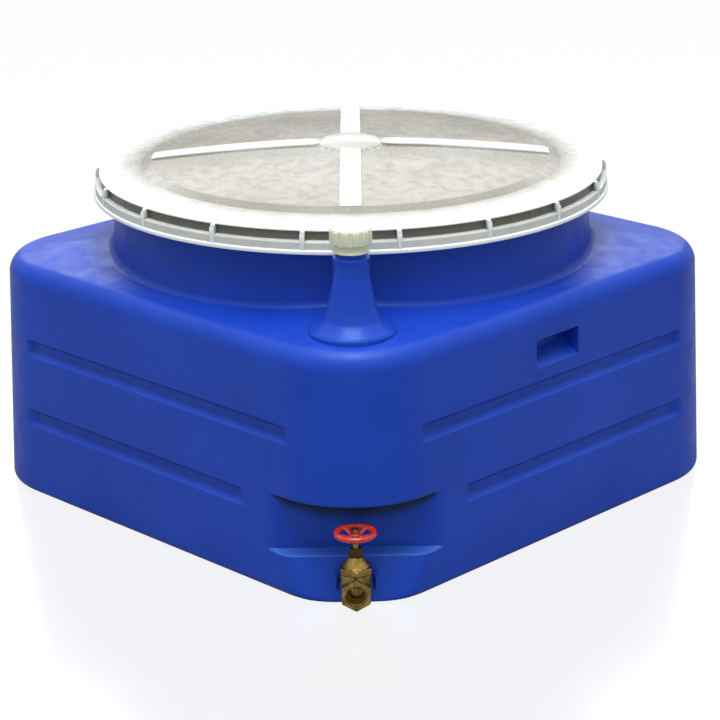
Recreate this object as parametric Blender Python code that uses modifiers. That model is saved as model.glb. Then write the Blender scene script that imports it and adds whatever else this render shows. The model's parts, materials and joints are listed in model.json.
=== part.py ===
"""Live fish tank: a square moulded tank with a screw lid, a capped spout and a drain valve.

The tank stands on the floor with its bottom centre at the origin and its walls along X and Y.
The spout and the drain valve share the corner at +X -Y. Lengths are in metres, +Z is up.
"""
import math

import bmesh
import bpy
from mathutils import Matrix, Vector

# Fits
GAP = 0.0003
THREAD_GAP = 0.0003
SLIDE_GAP = 0.0004

# Tank
BASE_SIDE = 0.850
BASE_HALF = BASE_SIDE / 2
WALL_LEAN = math.radians(1.62)
WALL = 0.007
CORNER_RADIUS = 0.140
CORNER_REACH = (BASE_HALF - CORNER_RADIUS) * math.sqrt(2) + CORNER_RADIUS
BOTTOM_FILLET = 0.012
TOP_FILLET = 0.028
DECK_EDGE_Z = 0.362
DECK_SLOPE = 0.141

# Neck of the tank, under the lid
NECK_INSET = 0.059
NECK_TAPER = 0.006
RIM_OVERHANG = 0.0165
NECK_FOOT_RADIUS = BASE_HALF - NECK_INSET
NECK_FOOT_RISE = 0.007
NECK_FOOT_Z = DECK_EDGE_Z + NECK_FOOT_RISE
NECK_FOOT_FILLET = 0.012
NECK_TOP_RADIUS = NECK_FOOT_RADIUS - NECK_TAPER
NECK_HEIGHT = 0.090
SHOULDER_Z = DECK_EDGE_Z + NECK_HEIGHT
SHOULDER_RISE = 0.008
RIM_RADIUS = NECK_TOP_RADIUS + RIM_OVERHANG
RIM_HEIGHT = 0.037
RIM_Z = SHOULDER_Z + RIM_HEIGHT

# Grooves pressed into the walls
GROOVE_Z = (0.125, 0.237)
GROOVE_END_GAP = 0.007
GROOVE_CUT_BACK = 0.086
GROOVE_REACH = BASE_HALF - CORNER_RADIUS - GROOVE_END_GAP
GROOVE_REACH_AT_RECESS = GROOVE_REACH - GROOVE_CUT_BACK
GROOVE_HEIGHT = 0.026
GROOVE_DEPTH = 0.008
GROOVE_SIDE_SLOPE = 1.5

# Hand grips in the walls at +X and -X
GRIP_WIDTH = 0.092
GRIP_DROP = 0.093
GRIP_BOTTOM_Z = DECK_EDGE_Z - GRIP_DROP
GRIP_HEIGHT = 0.040
GRIP_DEPTH = 0.030
GRIP_RAMP_RISE = 0.022

# Recess in the corner, distances along the diagonal from the middle of the tank
RECESS_DEPTH = 0.06255
RECESS_TOP_Z = 0.145
LEDGE_Z = 0.0635
LEDGE_DEPTH = 0.008
LEDGE_DROP = 0.012
FOOT_RUN = 0.0445
RECESS_BACK = CORNER_REACH - RECESS_DEPTH
RECESS_FOOT = RECESS_BACK + FOOT_RUN

# Spout on the deck
SPOUT_INSET = 0.10305
SPOUT_OUT = CORNER_REACH - SPOUT_INSET
SPOUT_FLANGE_RADIUS = 0.0614
SPOUT_FLANGE_HEIGHT = 0.0085
SPOUT_FLANGE_Z = DECK_EDGE_Z + SPOUT_FLANGE_HEIGHT
SPOUT_FLANGE_CROWN = 0.0150
SPOUT_CONE_FOOT_RADIUS = 0.0410
SPOUT_CONE_HEIGHT = 0.0765
SPOUT_CONE_TOP_Z = SPOUT_FLANGE_Z + SPOUT_CONE_HEIGHT
SPOUT_CONE_STRAIGHT_SHARE = 0.75
SPOUT_NECK_RADIUS = 0.0250
SPOUT_NECK_HEIGHT = 0.0225
SPOUT_BEAD_Z = SPOUT_CONE_TOP_Z + SPOUT_NECK_HEIGHT
SPOUT_BEAD_HEIGHT = 0.0050
SPOUT_BEAD_STEP = 0.0004
SPOUT_FINISH_RADIUS = 0.0213
SPOUT_BORE_RADIUS = 0.0165
SPOUT_CONE_WALL = 0.0062

# Cap of the spout
CAP_CLEARANCE = 0.0073
CAP_Z = SPOUT_BEAD_Z + SPOUT_BEAD_HEIGHT + CAP_CLEARANCE
CAP_COLLAR_RADIUS = 0.0256
CAP_COLLAR_HEIGHT = 0.0112
CAP_GRIP_RADIUS = 0.0282
CAP_RIBS = 12
CAP_RIB_WIDTH = 0.0100
CAP_RIB_HEIGHT = 0.0011
CAP_HEIGHT = 0.0342
CAP_TOP_Z = CAP_Z + CAP_HEIGHT
CAP_TOP_THICKNESS = 0.0035
CAP_LINER_THICKNESS = 0.0020

# Lid
SEAL_LAND = 0.0035
SEAL_HEIGHT = 0.0024
SEAL_WIDTH = 0.0060
LID_Z = RIM_Z + SEAL_HEIGHT + SEAL_LAND + 2 * GAP
LID_THICKNESS = 0.0030
LID_LIP_OVERHANG = 0.0065
LID_BAND_STEP = 0.0030
LID_SKIRT_STEP = 0.0092
LID_BEAD_STEP = 0.0028
LID_LIP_RADIUS = RIM_RADIUS + LID_LIP_OVERHANG
LID_BAND_RADIUS = LID_LIP_RADIUS - LID_BAND_STEP
LID_BAND_THICKNESS = 0.0025
LID_SKIRT_RADIUS = LID_BAND_RADIUS + LID_SKIRT_STEP
LID_BEAD_RADIUS = LID_SKIRT_RADIUS + LID_BEAD_STEP
LID_SKIRT_HEIGHT = 0.0340
LID_BAND_HEIGHT = 0.0155
LID_BEAD_HEIGHT = 0.0065
LID_MARGIN = 0.0635
LID_STEP_WIDTH = 0.0155
LID_STEP_RADIUS = LID_LIP_RADIUS - LID_MARGIN
LID_STEP_Z = 0.0055
LID_DOME_RADIUS = LID_STEP_RADIUS - LID_STEP_WIDTH
LID_DOME_EDGE_RISE = 0.0120
LID_DOME_TOP_RISE = 0.0300
LID_BOSS_RADIUS = 0.0520
LID_BOSS_RISE = 0.0120
LID_BOSS_SHAPE = ((0.50, 0.84), (0.84, 0.42))
LID_BOSS_HOLLOW = 0.0048
LID_DOME_ARC = 0.45 * math.pi
LID_DOME_STEPS = 3
LID_RIBS = 18
LID_RIB_TURN = math.radians(-45)
LID_RIB_WIDTH = 0.0070
LID_RIB_DEPTH = 0.0012
LID_BAR_WIDTH = 0.0310
LID_BAR_HEIGHT = 0.0045

# Drain line: heights above the floor and distances out along the diagonal
DRAIN_Z = 0.0322
DRAIN_PAD_DEPTH = 0.0055
DRAIN_BOSS_LENGTH = 0.0300
DRAIN_INNER_FACE = RECESS_BACK - DRAIN_PAD_DEPTH
DRAIN_OUTER_FACE = DRAIN_INNER_FACE + DRAIN_BOSS_LENGTH
DRAIN_PAD_RADIUS = 0.0300
DRAIN_BOSS_RADIUS = 0.0235
DRAIN_POCKET_RADIUS = 0.0250
NIPPLE_RADIUS = 0.0166
NIPPLE_BORE_RADIUS = 0.0135
NIPPLE_INNER_TAIL = 0.0030
WASHER_THICKNESS = 0.0025
WASHER_RADIUS = 0.0205
INNER_NUT_FLATS = 0.0420
OUTER_NUT_FLATS = 0.0395
LOCK_NUT_THICKNESS = 0.0066
NUT_CHAMFER = 0.0012

# Gate valve
VALVE_LENGTH = 0.0630
VALVE_END_FLATS = 0.0395
VALVE_END_LENGTH = 0.0150
VALVE_SOCKET_DEPTH = 0.0142
VALVE_OUTLET_RADIUS = 0.0152
VALVE_BORE_RADIUS = 0.0118
CHAMBER_RADIUS = 0.0225
CHAMBER_CAVITY_RADIUS = 0.0150
CHAMBER_FOOT_DROP = 0.0220
CHAMBER_TOP_RISE = 0.0229
CHAMBER_RIM_EASE = 0.0015
CHAMBER_RIM_HEIGHT = 0.0040
CHAMBER_CAVITY_FOOT_RADIUS = 0.0120
GASKET_THICKNESS = 0.0008
GASKET_RADIUS = 0.0200
BONNET_FLATS = 0.0420
BONNET_HEX_HEIGHT = 0.0090
BONNET_CHAMFER = 0.0015
BONNET_DOME_RADIUS = 0.0190
BONNET_DOME_HEIGHT = 0.0133
BONNET_DOME_SHAPE = ((0.66, 0.70), (0.87, 0.30), (1.00, 0.00))
BONNET_CAVITY_TOP_RADIUS = 0.0126
BONNET_HUB_WAY_HEIGHT = 0.0030
BONNET_CREST_RADIUS = 0.0092
BONNET_SPIGOT_RADIUS = 0.0066
BONNET_SPIGOT_HEIGHT = 0.0090
PACKING_BOX_RADIUS = 0.0054
PACKING_HEIGHT = 0.0040
STEM_RADIUS = 0.0040
STEM_COLLAR_RADIUS = 0.0049
STEM_COLLAR_HEIGHT = 0.0012
GLAND_NUT_FLATS = 0.0165
GLAND_NUT_HEIGHT = 0.0122
GLAND_NUT_ROOF = 0.0020
GLAND_NUT_CHAMFER = 0.0008
GATE_RADIUS = 0.0135
GATE_THICKNESS = 0.0090
GATE_TAPER = 0.0012
GATE_HUB_RADIUS = 0.0064
GATE_HUB_RISE = 0.0172
GATE_TRAVEL = 0.0250
STEM_ENGAGEMENT = 0.0050

# Handwheel
WHEEL_CLEARANCE = 0.0097
WHEEL_RADIUS = 0.0300
WHEEL_RIM_THICKNESS = 0.0076
WHEEL_HUB_RADIUS = 0.0085
WHEEL_HUB_HEIGHT = 0.0120
WHEEL_SPOKES = 5
WHEEL_SPOKE_WIDTH = 0.0060
WHEEL_SPOKE_THICKNESS = 0.0045
WHEEL_SPOKE_TAPER = 0.8
WHEEL_SEAT_RADIUS = 0.0032
STEM_TIP_RADIUS = 0.0026
WHEEL_WASHER_RADIUS = 0.0062
WHEEL_WASHER_THICKNESS = 0.0008
WHEEL_NUT_FLATS = 0.0100
WHEEL_NUT_HEIGHT = 0.0038
WHEEL_NUT_CHAMFER = 0.0006
STEM_TIP = 0.0010

# Facets of the round forms
QUADRANT_STEPS = 16
CORNER_STEPS = 8
FILLET_STEPS = 3
INNER_FILLET_STEPS = 2
ROUND_STEPS = 4 * QUADRANT_STEPS
SMALL_ROUND_STEPS = 24
PIN_STEPS = 16
WHEEL_RIM_STEPS = 35

# Places that follow from the sizes above
CUTTER_MARGIN = 0.010
VALVE_INLET = DRAIN_OUTER_FACE + WASHER_THICKNESS + LOCK_NUT_THICKNESS + 3 * GAP
VALVE_OUTLET = VALVE_INLET + VALVE_LENGTH
STEM_OUT = (VALVE_INLET + VALVE_OUTLET) / 2
GASKET_Z = DRAIN_Z + CHAMBER_TOP_RISE + GAP
BONNET_Z = GASKET_Z + GASKET_THICKNESS + GAP
BONNET_HEX_TOP_Z = BONNET_Z + BONNET_HEX_HEIGHT
BONNET_CREST_Z = BONNET_HEX_TOP_Z + BONNET_DOME_HEIGHT
PACKING_BOX_Z = BONNET_CREST_Z + GAP
GLAND_NUT_Z = BONNET_CREST_Z + GAP
GLAND_NUT_TOP_Z = GLAND_NUT_Z + GLAND_NUT_HEIGHT
WHEEL_HUB_Z = GLAND_NUT_TOP_Z + WHEEL_CLEARANCE
WHEEL_HUB_TOP_Z = WHEEL_HUB_Z + WHEEL_HUB_HEIGHT
WHEEL_Z = WHEEL_HUB_TOP_Z - GAP
WHEEL_WASHER_Z = WHEEL_HUB_TOP_Z + GAP
WHEEL_NUT_Z = WHEEL_WASHER_Z + WHEEL_WASHER_THICKNESS + GAP
STEM_TOP_Z = WHEEL_NUT_Z + WHEEL_NUT_HEIGHT + STEM_TIP
STEM_FOOT_Z = DRAIN_Z + GATE_HUB_RISE - STEM_ENGAGEMENT


def clear_scene():
    """Remove every object that is in the scene."""
    for item in list(bpy.data.objects):
        bpy.data.objects.remove(item, do_unlink=True)


def make_collection(name):
    """Add a collection to the scene and return it."""
    collection = bpy.data.collections.new(name)
    bpy.context.scene.collection.children.link(collection)
    return collection


clear_scene()
PARTS = make_collection("live_fish_tank")
CUTTERS = make_collection("live_fish_tank_cutters")


def make_material(name, color, roughness, metallic=0.0):
    """Return a Principled material of one colour."""
    material = bpy.data.materials.new(name)
    material.use_nodes = True
    shader = material.node_tree.nodes["Principled BSDF"]
    shader.inputs["Base Color"].default_value = (*color, 1.0)
    shader.inputs["Roughness"].default_value = roughness
    shader.inputs["Metallic"].default_value = metallic
    return material


TANK_BLUE = make_material("tank_blue", (0.024, 0.065, 0.371), 0.38)
LID_IVORY = make_material("lid_ivory", (0.72, 0.71, 0.64), 0.25)
CAP_IVORY = make_material("cap_ivory", (0.62, 0.66, 0.52), 0.30)
SEAL_RUBBER = make_material("seal_rubber", (0.030, 0.030, 0.032), 0.80)
LINER_FOAM = make_material("liner_foam", (0.80, 0.80, 0.78), 0.85)
VALVE_BRASS = make_material("valve_brass", (0.62, 0.46, 0.13), 0.30, 1.0)
PACKING_GREY = make_material("packing_grey", (0.12, 0.12, 0.12), 0.90)
WHEEL_RED = make_material("wheel_red", (0.52, 0.03, 0.02), 0.35)


def make_empty(name, location, rotation=(0.0, 0.0, 0.0), parent=None):
    """Add an empty that carries pieces on one axis."""
    empty = bpy.data.objects.new(name, None)
    empty.empty_display_size = 0.05
    empty.location = location
    empty.rotation_euler = rotation
    empty.parent = parent
    PARTS.objects.link(empty)
    return empty


CORNER = make_empty("corner_axis", (0.0, 0.0, 0.0), (0.0, 0.0, math.radians(-45)))
SPOUT_AXIS = make_empty("spout_axis", (SPOUT_OUT, 0.0, 0.0), parent=CORNER)
DRAIN_AXIS = make_empty("drain_axis", (0.0, 0.0, DRAIN_Z), (0.0, math.radians(90), 0.0), CORNER)
STEM_AXIS = make_empty("stem_axis", (STEM_OUT, 0.0, 0.0), parent=CORNER)


def add_object(name, mesh, material=None, parent=None, location=(0.0, 0.0, 0.0), rotation=(0.0, 0.0, 0.0)):
    """Add a mesh as a piece, or as a hidden cutter if it has no material."""
    item = bpy.data.objects.new(name, mesh)
    item.location = location
    item.rotation_euler = rotation
    item.parent = parent
    if material is None:
        item.hide_render = True
        item.display_type = "WIRE"
        CUTTERS.objects.link(item)
    else:
        mesh.materials.append(material)
        PARTS.objects.link(item)
    return item


def combine(item, tool, operation):
    """Cut a piece with a tool, fuse it to the tool or keep what both share."""
    modifier = item.modifiers.new(tool.name, "BOOLEAN")
    modifier.operation = operation
    modifier.solver = "EXACT"
    modifier.object = tool
    return item


def cut(item, tool):
    """Take a tool's volume away from a piece."""
    return combine(item, tool, "DIFFERENCE")


def fuse(item, tool):
    """Add a tool's volume to a piece."""
    return combine(item, tool, "UNION")


def mesh_from(name, bm):
    """Turn a bmesh into mesh data with outward faces."""
    bmesh.ops.recalc_face_normals(bm, faces=bm.faces)
    mesh = bpy.data.meshes.new(name)
    bm.to_mesh(mesh)
    bm.free()
    return mesh


def turned(name, profile, material=None, parent=None, location=(0.0, 0.0, 0.0),
           steps=SMALL_ROUND_STEPS, rotation=(0.0, 0.0, 0.0)):
    """Turn a profile of (radius, height) points about Z.

    The profile runs down its outer side. It is closed into a ring unless its first
    point lies on the axis.
    """
    mesh = bpy.data.meshes.new(name)
    points = [(radius, 0.0, height) for radius, height in profile]
    edges = [(index, index + 1) for index in range(len(points) - 1)]
    if profile[0][0] > 0.0:
        edges.append((len(points) - 1, 0))
    mesh.from_pydata(points, edges, [])
    item = add_object(name, mesh, material, parent, location, rotation)
    screw = item.modifiers.new("turn", "SCREW")
    screw.steps = steps
    screw.render_steps = steps
    screw.use_merge_vertices = True
    screw.merge_threshold = 0.00005
    screw.use_smooth_shade = False
    return item


def cylinder_profile(radius, low, high):
    """Return the profile of a solid cylinder."""
    return [(0.0, high), (radius, high), (radius, low), (0.0, low)]


def tube_profile(outer, inner, low, high):
    """Return the profile of a plain tube."""
    return [(outer, high), (outer, low), (inner, low), (inner, high)]


def box(name, low, high, **placing):
    """Add a box between two opposite corners."""
    bm = bmesh.new()
    bmesh.ops.create_cube(bm, size=1.0)
    size = Vector(high) - Vector(low)
    middle = (Vector(high) + Vector(low)) / 2
    bmesh.ops.scale(bm, vec=size, verts=bm.verts)
    bmesh.ops.translate(bm, vec=middle, verts=bm.verts)
    return add_object(name, mesh_from(name, bm), **placing)


def prism(name, outline, low, high, **placing):
    """Extrude an outline of (x, z) points along Y from low to high."""
    bm = bmesh.new()
    corners = [bm.verts.new((x, low, z)) for x, z in outline]
    face = bm.faces.new(corners)
    grown = bmesh.ops.extrude_face_region(bm, geom=[face])
    moved = [part for part in grown["geom"] if isinstance(part, bmesh.types.BMVert)]
    bmesh.ops.translate(bm, vec=(0.0, high - low, 0.0), verts=moved)
    return add_object(name, mesh_from(name, bm), **placing)


def join_meshes(name, items, **placing):
    """Join plain solids that don't overlap into one tool."""
    bm = bmesh.new()
    for item in items:
        start = len(bm.verts)
        bm.from_mesh(item.data)
        bm.verts.ensure_lookup_table()
        bmesh.ops.transform(bm, matrix=item.matrix_basis, verts=bm.verts[start:])
        bpy.data.objects.remove(item, do_unlink=True)
    return add_object(name, mesh_from(name, bm), **placing)


def loft(name, rings, **placing):
    """Skin a stack of rings of equal count and close both ends."""
    bm = bmesh.new()
    rows = [[bm.verts.new(point) for point in ring] for ring in rings]
    for lower, upper in zip(rows, rows[1:]):
        for index, corner in enumerate(lower):
            following = (index + 1) % len(lower)
            bm.faces.new((corner, lower[following], upper[following], upper[index]))
    bmesh.ops.triangulate(bm, faces=bm.faces)
    bm.faces.new(list(reversed(rows[0])))
    bm.faces.new(rows[-1])
    return add_object(name, mesh_from(name, bm), **placing)


def hexagon_nut(name, flats, length, bore, chamfer, material=None, parent=None,
                location=(0.0, 0.0, 0.0), turn=0.0):
    """Make a chamfered hexagon with a bore, standing on its own origin along Z."""
    bm = bmesh.new()
    bmesh.ops.create_cone(bm, cap_ends=True, segments=6, radius1=flats / math.sqrt(3),
                          radius2=flats / math.sqrt(3), depth=length)
    bmesh.ops.rotate(bm, verts=bm.verts, matrix=Matrix.Rotation(turn, 3, "Z"))
    bmesh.ops.translate(bm, verts=bm.verts, vec=(0.0, 0.0, length / 2))
    nut = add_object(name, mesh_from(name, bm), material, parent, location)
    corner = flats / math.sqrt(3)
    chamfered = [(corner - chamfer, length + GAP), (corner + chamfer, length - chamfer),
                 (corner + chamfer, chamfer), (corner - chamfer, -GAP)]
    if bore > 0.0:
        chamfered += [(bore, -GAP), (bore, length + GAP)]
    else:
        chamfered = [(0.0, length + GAP), *chamfered, (0.0, -GAP)]
    blank = turned(name + "_blank", chamfered, parent=parent, location=location)
    return combine(nut, blank, "INTERSECT")


def wall_half(height):
    """Return the distance from the tank's axis to its outer wall at a height."""
    return BASE_HALF - math.tan(WALL_LEAN) * height


def square_ring(half, radius, height):
    """Return the points of a rounded square, starting at a corner's arc."""
    points = []
    straight_steps = QUADRANT_STEPS - CORNER_STEPS
    centre = half - radius
    for quadrant in range(4):
        turn = Matrix.Rotation(quadrant * math.pi / 2, 3, "Z")
        for step in range(CORNER_STEPS + 1):
            angle = step / CORNER_STEPS * math.pi / 2
            corner = Vector((centre + radius * math.cos(angle), centre + radius * math.sin(angle), height))
            points.append(turn @ corner)
        for step in range(1, straight_steps):
            along = centre - 2 * centre * step / straight_steps
            points.append(turn @ Vector((along, half, height)))
    return points


def circle_ring(radius, heights):
    """Return a circle's points, in step with square_ring, at one height for each point."""
    points = []
    for index, height in enumerate(heights):
        angle = math.pi / 4 + (index - CORNER_STEPS / 2) * 2 * math.pi / ROUND_STEPS
        points.append(Vector((radius * math.cos(angle), radius * math.sin(angle), height)))
    return points


def deck_heights():
    """Return the deck's height at each point of the neck's foot: four planes with a level middle."""
    edge_half = wall_half(DECK_EDGE_Z) - TOP_FILLET
    foot = circle_ring(NECK_FOOT_RADIUS + NECK_FOOT_FILLET, [0.0] * ROUND_STEPS)
    inboard = [max(edge_half - max(abs(point.x), abs(point.y)), 0.0) for point in foot]
    return [max(DECK_EDGE_Z + DECK_SLOPE * distance, NECK_FOOT_Z) for distance in inboard]


def tank_rings(inset, top_z, fillet_steps):
    """Return the rings of the tank's outside, or of its inside when there is an inset."""
    rings = []
    quarter = [step / fillet_steps * math.pi / 2 for step in range(fillet_steps + 1)]
    bottom_half = wall_half(BOTTOM_FILLET) - BOTTOM_FILLET
    for angle in quarter:
        reach = (BOTTOM_FILLET - inset) * math.sin(angle)
        height = BOTTOM_FILLET - (BOTTOM_FILLET - inset) * math.cos(angle)
        rings.append(square_ring(bottom_half + reach, CORNER_RADIUS - BOTTOM_FILLET + reach, height))
    crease_z = DECK_EDGE_Z - TOP_FILLET
    top_half = wall_half(crease_z) - TOP_FILLET
    for angle in quarter:
        reach = (TOP_FILLET - inset) * math.cos(angle)
        height = crease_z + (TOP_FILLET - inset) * math.sin(angle)
        rings.append(square_ring(top_half + reach, CORNER_RADIUS - TOP_FILLET + reach, height))
    deck = deck_heights()
    bend = NECK_FOOT_FILLET + inset
    for angle in quarter:
        radius = NECK_FOOT_RADIUS + NECK_FOOT_FILLET - bend * math.sin(angle)
        drop = NECK_FOOT_FILLET - bend * math.cos(angle)
        rings.append(circle_ring(radius, [level + drop for level in deck]))
    slope = math.atan2(SHOULDER_RISE, RIM_RADIUS - NECK_TOP_RADIUS)
    lift = inset * (1 / math.cos(slope) - math.tan(slope))
    rim_foot_z = SHOULDER_Z + SHOULDER_RISE + lift
    neck = ((NECK_TOP_RADIUS, SHOULDER_Z + lift), (RIM_RADIUS, rim_foot_z), (RIM_RADIUS, top_z))
    for radius, height in neck:
        rings.append(circle_ring(radius - inset, [height] * ROUND_STEPS))
    return rings


def groove_tool(name, grow):
    """Return the tool for the eight wall grooves, grown on all sides for the inside."""
    tools = []
    for heading in (0, 90, 180, 270):
        for height in GROOVE_Z:
            short = height == GROOVE_Z[0]
            start = -GROOVE_REACH_AT_RECESS if short and heading == 0 else -GROOVE_REACH
            end = GROOVE_REACH_AT_RECESS if short and heading == 270 else GROOVE_REACH
            tools.append(groove_solid(heading, height, start, end, grow))
    return join_meshes(name, tools)


def groove_solid(heading, height, start, end, grow):
    """Return one groove's solid: a bar that narrows towards the inside of the wall."""
    bm = bmesh.new()
    bmesh.ops.create_cube(bm, size=1.0)
    floor = wall_half(height) - GROOVE_DEPTH - grow
    mouth = wall_half(height) + CUTTER_MARGIN
    widening = (mouth - floor) / GROOVE_SIDE_SLOPE
    narrow = GROOVE_HEIGHT / 2 - GROOVE_DEPTH / GROOVE_SIDE_SLOPE + grow
    for vert in bm.verts:
        outside = vert.co.x > 0
        spread = widening if outside else 0.0
        vert.co.x = mouth if outside else floor
        vert.co.z = height + math.copysign(narrow + spread, vert.co.z)
        vert.co.y = (start - grow - spread) if vert.co.y < 0 else (end + grow + spread)
    turn = (0.0, 0.0, math.radians(heading))
    return add_object(f"groove_{heading}_{height}_{grow}", mesh_from("groove", bm), rotation=turn)


def grip_tool(name, grow):
    """Return the tool for the two hand grips: a slot over a ramp that rises inwards."""
    low = GRIP_BOTTOM_Z - grow
    high = GRIP_BOTTOM_Z + GRIP_HEIGHT + grow
    face = wall_half(GRIP_BOTTOM_Z)
    back = face - GRIP_DEPTH - grow
    mouth = face + CUTTER_MARGIN
    outline = [(mouth, low), (mouth, high), (back, high), (back, low + GRIP_RAMP_RISE), (face, low)]
    sides = [prism(f"{name}_{heading}", outline, -GRIP_WIDTH / 2 - grow, GRIP_WIDTH / 2 + grow,
                   rotation=(0.0, 0.0, math.radians(heading))) for heading in (0, 180)]
    return join_meshes(name, sides)


def recess_tool(name, grow):
    """Return the tool for the corner recess: a back wall over a ledge and a sloping foot."""
    slope = math.atan2(RECESS_FOOT - RECESS_BACK - LEDGE_DEPTH, LEDGE_Z - LEDGE_DROP)
    inwards = grow / math.cos(slope)
    ledge_front = RECESS_BACK + LEDGE_DEPTH
    run = (RECESS_FOOT - ledge_front) / (LEDGE_Z - LEDGE_DROP)
    foot = RECESS_FOOT + CUTTER_MARGIN * run - inwards
    outline = [
        (foot, -CUTTER_MARGIN),
        (BASE_SIDE, -CUTTER_MARGIN),
        (BASE_SIDE, RECESS_TOP_Z + grow),
        (RECESS_BACK - grow, RECESS_TOP_Z + grow),
        (RECESS_BACK - grow, LEDGE_Z),
        (ledge_front - inwards, LEDGE_Z - LEDGE_DROP),
    ]
    return prism(name, outline, -BASE_HALF / 2, BASE_HALF / 2, parent=CORNER)


def spout_cone_radius(share):
    """Return the cone's outer radius, from 0 at the spout's neck to 1 at its foot."""
    straight = SPOUT_CONE_STRAIGHT_SHARE
    widening = straight * share + (1 - straight) * share ** 4
    return SPOUT_NECK_RADIUS + (SPOUT_CONE_FOOT_RADIUS - SPOUT_NECK_RADIUS) * widening


def spout_finish_top():
    """Return the height of the spout's mouth, under the cap's liner."""
    return CAP_TOP_Z - CAP_TOP_THICKNESS - CAP_LINER_THICKNESS - 2 * GAP


def build_spout_solid():
    """Return the spout's outside: threaded mouth, bead, neck, cone and foot flange."""
    cone_foot_z = SPOUT_FLANGE_Z + SPOUT_FLANGE_CROWN
    flange_bottom = DECK_EDGE_Z - WALL
    shares = [step / 6 for step in range(7)]
    profile = [(0.0, spout_finish_top()), (SPOUT_FINISH_RADIUS, spout_finish_top())]
    bead_radius = SPOUT_NECK_RADIUS + SPOUT_BEAD_STEP
    bead_top = SPOUT_BEAD_Z + SPOUT_BEAD_HEIGHT
    profile += [(SPOUT_FINISH_RADIUS, bead_top), (bead_radius, bead_top)]
    profile += [(bead_radius, SPOUT_BEAD_Z), (SPOUT_NECK_RADIUS, SPOUT_BEAD_Z)]
    profile += [(spout_cone_radius(share), SPOUT_CONE_TOP_Z + (cone_foot_z - SPOUT_CONE_TOP_Z) * share)
                for share in shares]
    rounding = SPOUT_FLANGE_CROWN / 4
    profile += [(SPOUT_FLANGE_RADIUS - rounding, SPOUT_FLANGE_Z + rounding)]
    profile += [(SPOUT_FLANGE_RADIUS, SPOUT_FLANGE_Z), (SPOUT_FLANGE_RADIUS, flange_bottom)]
    profile += [(0.0, flange_bottom)]
    return turned("spout_solid", profile, parent=SPOUT_AXIS)


def build_spout_bore():
    """Return the throat of the spout, which opens into the tank."""
    cone_foot_z = SPOUT_FLANGE_Z + SPOUT_FLANGE_CROWN
    below = DECK_EDGE_Z - WALL - CUTTER_MARGIN
    above = spout_finish_top() + CUTTER_MARGIN
    foot_radius = SPOUT_CONE_FOOT_RADIUS - SPOUT_CONE_WALL
    profile = [(0.0, above), (SPOUT_BORE_RADIUS, above), (SPOUT_BORE_RADIUS, SPOUT_CONE_TOP_Z),
               (foot_radius, cone_foot_z), (foot_radius, below), (0.0, below)]
    return turned("spout_bore", profile, parent=SPOUT_AXIS)


def build_tank():
    """Build the moulded tank with its neck, grooves, grips, recess, spout and drain boss."""
    cavity = loft("tank_cavity", tank_rings(WALL, RIM_Z + CUTTER_MARGIN, INNER_FILLET_STEPS))
    cut(cavity, groove_tool("grooves_inside", WALL))
    cut(cavity, grip_tool("grips_inside", WALL))
    cut(cavity, recess_tool("recess_inside", WALL))
    pad = cylinder_profile(DRAIN_PAD_RADIUS, DRAIN_INNER_FACE, RECESS_FOOT)
    cut(cavity, turned("drain_pad", pad, parent=DRAIN_AXIS))

    tank = loft("tank_shell", tank_rings(0.0, RIM_Z, FILLET_STEPS), material=TANK_BLUE)
    cut(tank, groove_tool("grooves_outside", 0.0))
    cut(tank, grip_tool("grips_outside", 0.0))
    cut(tank, recess_tool("recess_outside", 0.0))
    boss = cylinder_profile(DRAIN_BOSS_RADIUS, DRAIN_INNER_FACE + WALL, DRAIN_OUTER_FACE + WALL)
    fuse(tank, turned("drain_boss", boss, parent=DRAIN_AXIS))
    fuse(tank, build_spout_solid())
    cut(tank, cavity)
    cut(tank, build_spout_bore())
    bore_radius = NIPPLE_RADIUS + GAP
    bore = [(0.0, BASE_SIDE), (DRAIN_POCKET_RADIUS, BASE_SIDE), (DRAIN_POCKET_RADIUS, DRAIN_OUTER_FACE),
            (bore_radius, DRAIN_OUTER_FACE), (bore_radius, DRAIN_INNER_FACE - CUTTER_MARGIN),
            (0.0, DRAIN_INNER_FACE - CUTTER_MARGIN)]
    cut(tank, turned("drain_bore", bore, parent=DRAIN_AXIS))
    return tank


def dome_rise(radius):
    """Return the lid dome's rise above the lid's lip at a radius."""
    share = (LID_DOME_RADIUS - radius) / (LID_DOME_RADIUS - LID_BOSS_RADIUS)
    return LID_DOME_EDGE_RISE + (LID_DOME_TOP_RISE - LID_DOME_EDGE_RISE) * math.sin(share * LID_DOME_ARC)


def dome_radii(steps):
    """Return radii across the lid's dome, from the boss out to its edge."""
    width = LID_DOME_RADIUS - LID_BOSS_RADIUS
    return [LID_BOSS_RADIUS + width * step / steps for step in range(steps + 1)]


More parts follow.
